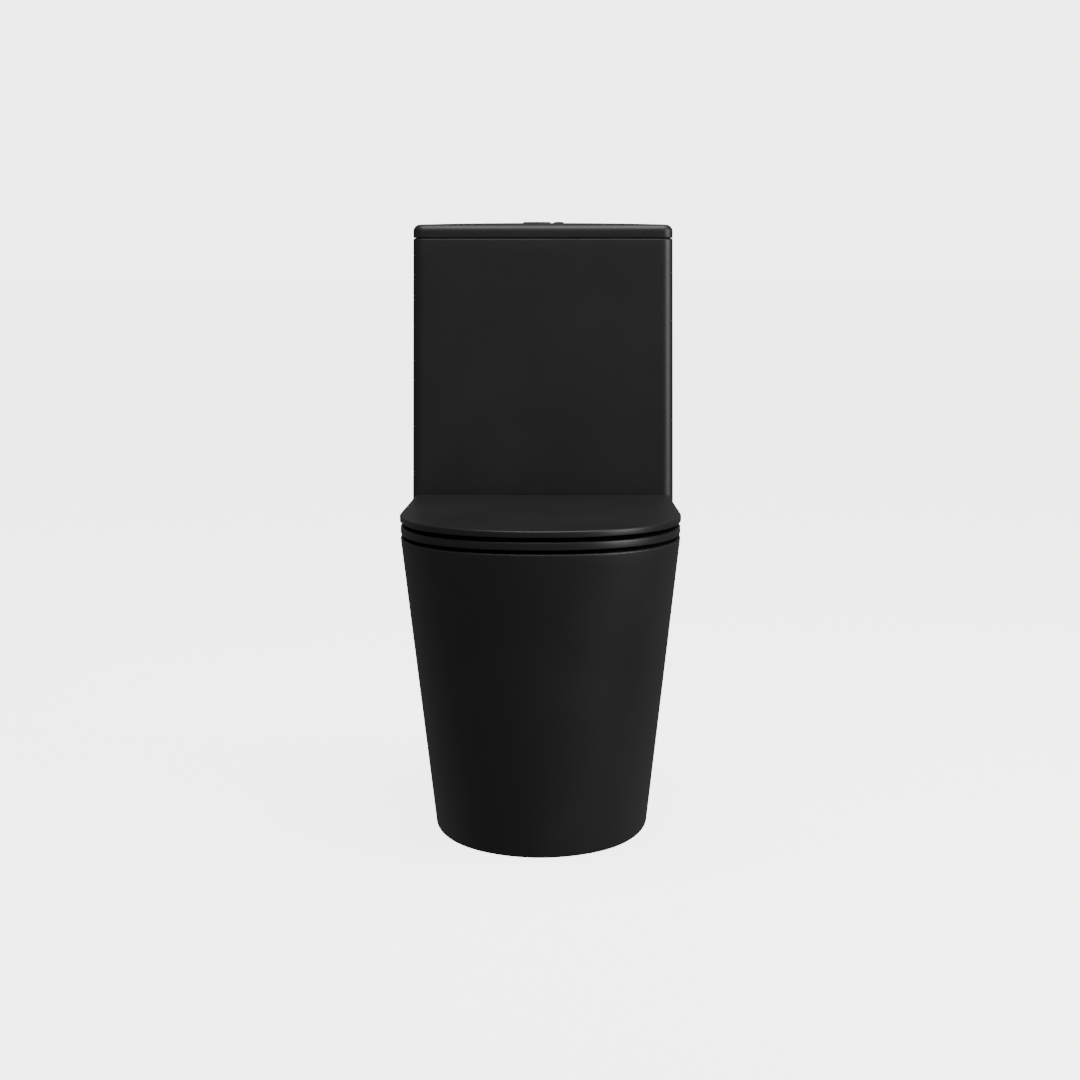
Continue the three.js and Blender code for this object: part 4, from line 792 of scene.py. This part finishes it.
# ------------------------------------------------------------------ hinge bases
# Die-cast posts on round foot plates, coated black to match, each fixed through the deck by a bolt
# that spreads a rubber plug under it.
coated = finish("black_coating", (0.012, 0.012, 0.012), 1.3, 0.22, 0.3, 700, 3600)
BOLT_RADIUS, BOLT_DEPTH = 3, 5.7
post_foot = box_of("hinge_base_left")[0][2] + 2
post_plan = knuckle_plan(0, 180, (AXIS_Y - 5.2, AXIS_Z - 5), (AXIS_Y - 5.2, post_foot),
                         (AXIS_Y + 5.2, post_foot), (AXIS_Y + 5.2, AXIS_Z - 5))
for label, side in (("left", -1), ("right", 1)):
    node, x = "hinge_base_" + label, side * HINGE_X
    base = box_of(node)[0][2]
    hinge = turned("hinge_casting_" + label, [
        (AXIS, base), (19.6, base), (20, base + 0.4), (20, base + 1.6), (19.4, base + 2.4),
        (18.6, base + 2.7), (AXIS, base + 2.7)], x, AXIS_Y, coated, 72)
    post = bar_x("post", post_plan, x - POST_HALF, x + POST_HALF, 0.6, coated)
    shaped(hinge, [post], [
        crossbar("pin_bore", PIN_BORE, x - 6, x + 6, AXIS_Y, AXIS_Z),
        drum("bolt_hole", BOLT_RADIUS, base - 1, base + BOLT_DEPTH, x, AXIS_Y, 24)])
    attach(hinge, "pan_and_cistern")
    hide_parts(node)

# ------------------------------------------------------------------ rubber feet and screw caps
# Moulded rubber buffers pressed into the seat ring and the lid, and black caps pushed over the
# screws that hold the pan's sides to its floor brackets.
rubber = finish("black_rubber", (0.016, 0.016, 0.016), 1.4, 0.62, 0.75, 300, 3000)
BUFFERS = [(part, end + side, body) for part, end, body in (
    ("ring_bumper_", "front_", "seat_ring"), ("ring_bumper_", "back_", "seat_ring"),
    ("lid_bumper_", "", "seat_lid")) for side in ("left", "right")]
for part, label, body in BUFFERS:
    node = part + label
    low, high = box_of(node)
    x, y = (low[:2] + high[:2]) / 2
    foot_width, top_width = (9.0, 7.5) if body == "seat_ring" else (7.0, 8.0)
    base, top = low[2], high[2]
    buffer = turned(node + "_rubber", [
        (AXIS, base), (foot_width - 0.8, base), (foot_width - 0.2, base + 0.25),
        (foot_width - 0.05, base + 0.8), (top_width - 0.05, top - 0.6), (top_width - 0.5, top),
        (AXIS, top)], x, y, rubber, 40)
    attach(buffer, body)
    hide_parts(node)

CAP_RADIUS = 8
for label in ("left", "right"):
    node = "side_screw_cap_" + label
    low, high = box_of(node)
    circle = arc((SCREW_Y, SCREW_Z), CAP_RADIUS, 0, 360, 49)[:-1]
    cap = bar_x(node + "_plug", circle, low[0], high[0], 0.9, glaze)
    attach(cap, "pan_and_cistern")
    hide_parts(node)

# ------------------------------------------------------------------ button springs
# Stainless round wire wound round each push rod between the bezel's floor and the rod's collar,
# with its end turns closed.
steel = finish("stainless", (0.55, 0.55, 0.57), 1.06, 0.24, 0.34, 900, 4000, 1.0)
WIRE, COIL_RADIUS, COIL_TURNS, PRESS = 0.45, 3.7, 4.5, 6
for label, rod_x in (("full", FULL_ROD_X), ("half", HALF_ROD_X)):
    node = label + "_button_spring"
    low, high = box_of(node)
    # A helix that climbs slowly in its end turns, with a circle of wire across it at each point.
    t = np.linspace(0, 1, 260)
    rise = np.interp(t, [0, 0.16, 0.84, 1], [0, 0.04, 0.96, 1])
    angle = t * COIL_TURNS * 2 * pi
    outward = np.column_stack([np.cos(angle), np.sin(angle), 0 * t])
    middle = outward * COIL_RADIUS + np.column_stack([
        np.full(len(t), rod_x), np.full(len(t), ROD_Y),
        low[2] + WIRE + rise * (high[2] - low[2] - 2 * WIRE)])
    across = np.linspace(0, 2 * pi, 10, endpoint=False)[None, :, None]
    rows = middle[:, None] + WIRE * (
        np.cos(across) * outward[:, None] + np.sin(across) * np.array([0, 0, 1.0]))
    coil_spring = grid_piece(label + "_spring_wire", close_ends(rows), steel, 60)
    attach(coil_spring, "cistern_lid")
    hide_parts(node)
    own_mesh(coil_spring)

# ------------------------------------------------------------------ valves and fixings
# Everything inside the cistern and under the deck: injection-moulded acetal and polypropylene,
# a silicone seal, EPDM washers and stainless bolts. Each is the CAD part with its edges eased.
white = finish("white_plastic", (0.76, 0.76, 0.73), 1.05, 0.42, 0.52, 500, 2600)
grey = finish("grey_plastic", (0.28, 0.29, 0.3), 1.1, 0.4, 0.5, 500, 2600)
blue = finish("blue_plastic", (0.05, 0.17, 0.45), 1.12, 0.38, 0.48, 500, 2600)
silicone = finish("red_rubber", (0.42, 0.07, 0.045), 1.12, 0.5, 0.6, 400, 2600)


def eased(node, width, material):
    """Copy of a CAD node with its seams merged and its sharp edges bevelled, on the same body:
    each edge between faces at more than 40 degrees becomes a round of two steps."""
    work = bmesh.new()
    work.from_mesh(frame["nodes"][node].data)
    bmesh.ops.remove_doubles(work, verts=work.verts, dist=1e-6)
    bmesh.ops.dissolve_limit(work, angle_limit=radians(2), verts=work.verts, edges=work.edges)
    work.normal_update()
    sharp = [e for e in work.edges if len(e.link_faces) == 2 and e.calc_face_angle() > radians(40)]
    bmesh.ops.bevel(work, geom=sharp, offset=width * 0.001, offset_type="OFFSET", segments=2,
                    profile=0.5, affect="EDGES", clamp_overlap=True)
    mesh = bpy.data.meshes.new(node + "_part")
    work.to_mesh(mesh)
    work.free()
    piece = smooth_piece(node + "_part", mesh, material, 32)
    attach(piece, BODY_OF[node])
    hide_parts(node)


BODIES = frame["record"]["behaviour"]["bodies"]
BODY_OF = {node: body for body, nodes in BODIES.items() for node in nodes}
PAIRED = ("coupling_cone_washer", "coupling_bolt", "coupling_wing_nut", "hinge_bolt",
          "hinge_expander", "hinge_pin", "ring_damper", "lid_damper", "floor_bracket", "side_screw")
# Slot: material, width of the eased edges, nodes.
KEPT = {
    "white_plastic": (white, 0.4, ["flush_valve_base", "flush_valve_backnut", "flush_valve_tower",
                                   "fill_valve_body", "fill_valve_backnut", "flush_button_nut",
                                   "coupling_wing_nut", "floor_bracket"]),
    "grey_plastic": (grey, 0.12, ["flush_valve_plunger", "full_flush_lever", "full_flush_rod",
                                  "fill_lever", "ring_damper", "lid_damper"]),
    "blue_plastic": (blue, 0.4, ["half_flush_lever", "half_flush_rod", "fill_float"]),
    "red_rubber": (silicone, 0.3, ["flush_valve_seal"]),
    "black_rubber": (rubber, 0.5, ["coupling_doughnut", "coupling_cone_washer",
                                   "flush_valve_base_washer", "fill_valve_washer",
                                   "hinge_expander"]),
    "steel": (steel, 0.25, ["coupling_bolt", "full_lever_pin", "half_lever_pin", "fill_lever_pin",
                            "hinge_bolt", "hinge_pin", "side_screw"]),
}
for slot_name, (material, width, names) in KEPT.items():
    for name in names:
        for node in ([name + "_left", name + "_right"] if name in PAIRED else [name]):
            eased(node, width, material)

# ------------------------------------------------------------------ light and floor
# A pale floor, a big soft light overhead and a softbox at the front right.
floor_material = bpy.data.materials.new("pale_floor")
floor_material.use_nodes = True
matt = floor_material.node_tree.nodes["Principled BSDF"].inputs
matt["Base Color"].default_value = (0.9, 0.9, 0.9, 1)
matt["Roughness"].default_value = 0.9
matt["Emission Color"].default_value = (1, 1, 1, 1)
matt["Emission Strength"].default_value = 4
FLOOR_REACH = 30
floor_mesh = bpy.data.meshes.new("floor")
floor_mesh.from_pydata([(x * FLOOR_REACH, y * FLOOR_REACH, 0)
                        for x, y in ((-1, -1), (1, -1), (1, 1), (-1, 1))], [], [(0, 1, 2, 3)])
floor_mesh.materials.append(floor_material)
floor = bpy.data.objects.new("floor", floor_mesh)
bpy.context.scene.collection.objects.link(floor)
floor.visible_glossy = False
floor.visible_diffuse = False


def softbox(name, place, width, height, watts):
    """Area light at a place, facing the toilet's middle."""
    light = bpy.data.lights.new(name, "AREA")
    light.shape, light.size, light.size_y, light.energy = "RECTANGLE", width, height, watts
    lamp = bpy.data.objects.new(name, light)
    away = np.array(place, float) - np.array([0, 0, 0.4])
    lamp.location = place
    lamp.rotation_euler = Vector(away).to_track_quat("Z", "Y").to_euler()
    bpy.context.scene.collection.objects.link(lamp)


softbox("overhead", (0.2, -0.3, 3.2), 2.4, 1.8, 80)
softbox("front_right", (2.7, -1.2, 1.2), 1.6, 1.9, 72)

world = bpy.data.worlds.new("studio")
world.use_nodes = True
bpy.context.scene.world = world
sky, sky_links = world.node_tree.nodes, world.node_tree.links
background = sky["Background"]
background.inputs["Color"].default_value = (1, 1, 1, 1)
toward = sky.new("ShaderNodeSeparateXYZ")
sky_links.new(sky.new("ShaderNodeTexCoord").outputs["Generated"], toward.inputs[0])


def ramp(output, low, high, dim, bright):
    """Brightness that rises smoothly as one part of the direction goes from low to high."""
    node = sky.new("ShaderNodeMapRange")
    node.interpolation_type = "SMOOTHSTEP"
    for name, value in (("From Min", low), ("From Max", high), ("To Min", dim), ("To Max", bright)):
        node.inputs[name].default_value = value
    sky_links.new(output, node.inputs["Value"])
    return node.outputs["Result"]


def product(first, second):
    """One brightness times another."""
    node = sky.new("ShaderNodeMath")
    node.operation = "MULTIPLY"
    sky_links.new(first, node.inputs[0])
    sky_links.new(second, node.inputs[1])
    return node.outputs[0]


# Brighter in front than behind, and above than below, with a little more low down at the back.
up, back = toward.outputs["Z"], toward.outputs["Y"]
glow = product(ramp(up, -0.6, 0.15, 0.21, 0.31), ramp(back, -0.6, 0.5, 1, 0.45))
low_back = product(ramp(up, -0.6, -0.22, 0.14, 0), ramp(back, 0.1, 0.7, 0, 1))
total = sky.new("ShaderNodeMath")
sky_links.new(glow, total.inputs[0])
sky_links.new(low_back, total.inputs[1])
sky_links.new(total.outputs[0], background.inputs["Strength"])
# The pale backdrop itself.
seen = sky.new("ShaderNodeBackground")
seen.inputs["Color"].default_value = (1, 1, 1, 1)
seen.inputs["Strength"].default_value = 4.4
path = sky.new("ShaderNodeLightPath")
either = sky.new("ShaderNodeMixShader")
sky_links.new(path.outputs["Is Camera Ray"], either.inputs["Fac"])
sky_links.new(background.outputs[0], either.inputs[1])
sky_links.new(seen.outputs[0], either.inputs[2])
sky_links.new(either.outputs[0], sky["World Output"].inputs["Surface"])
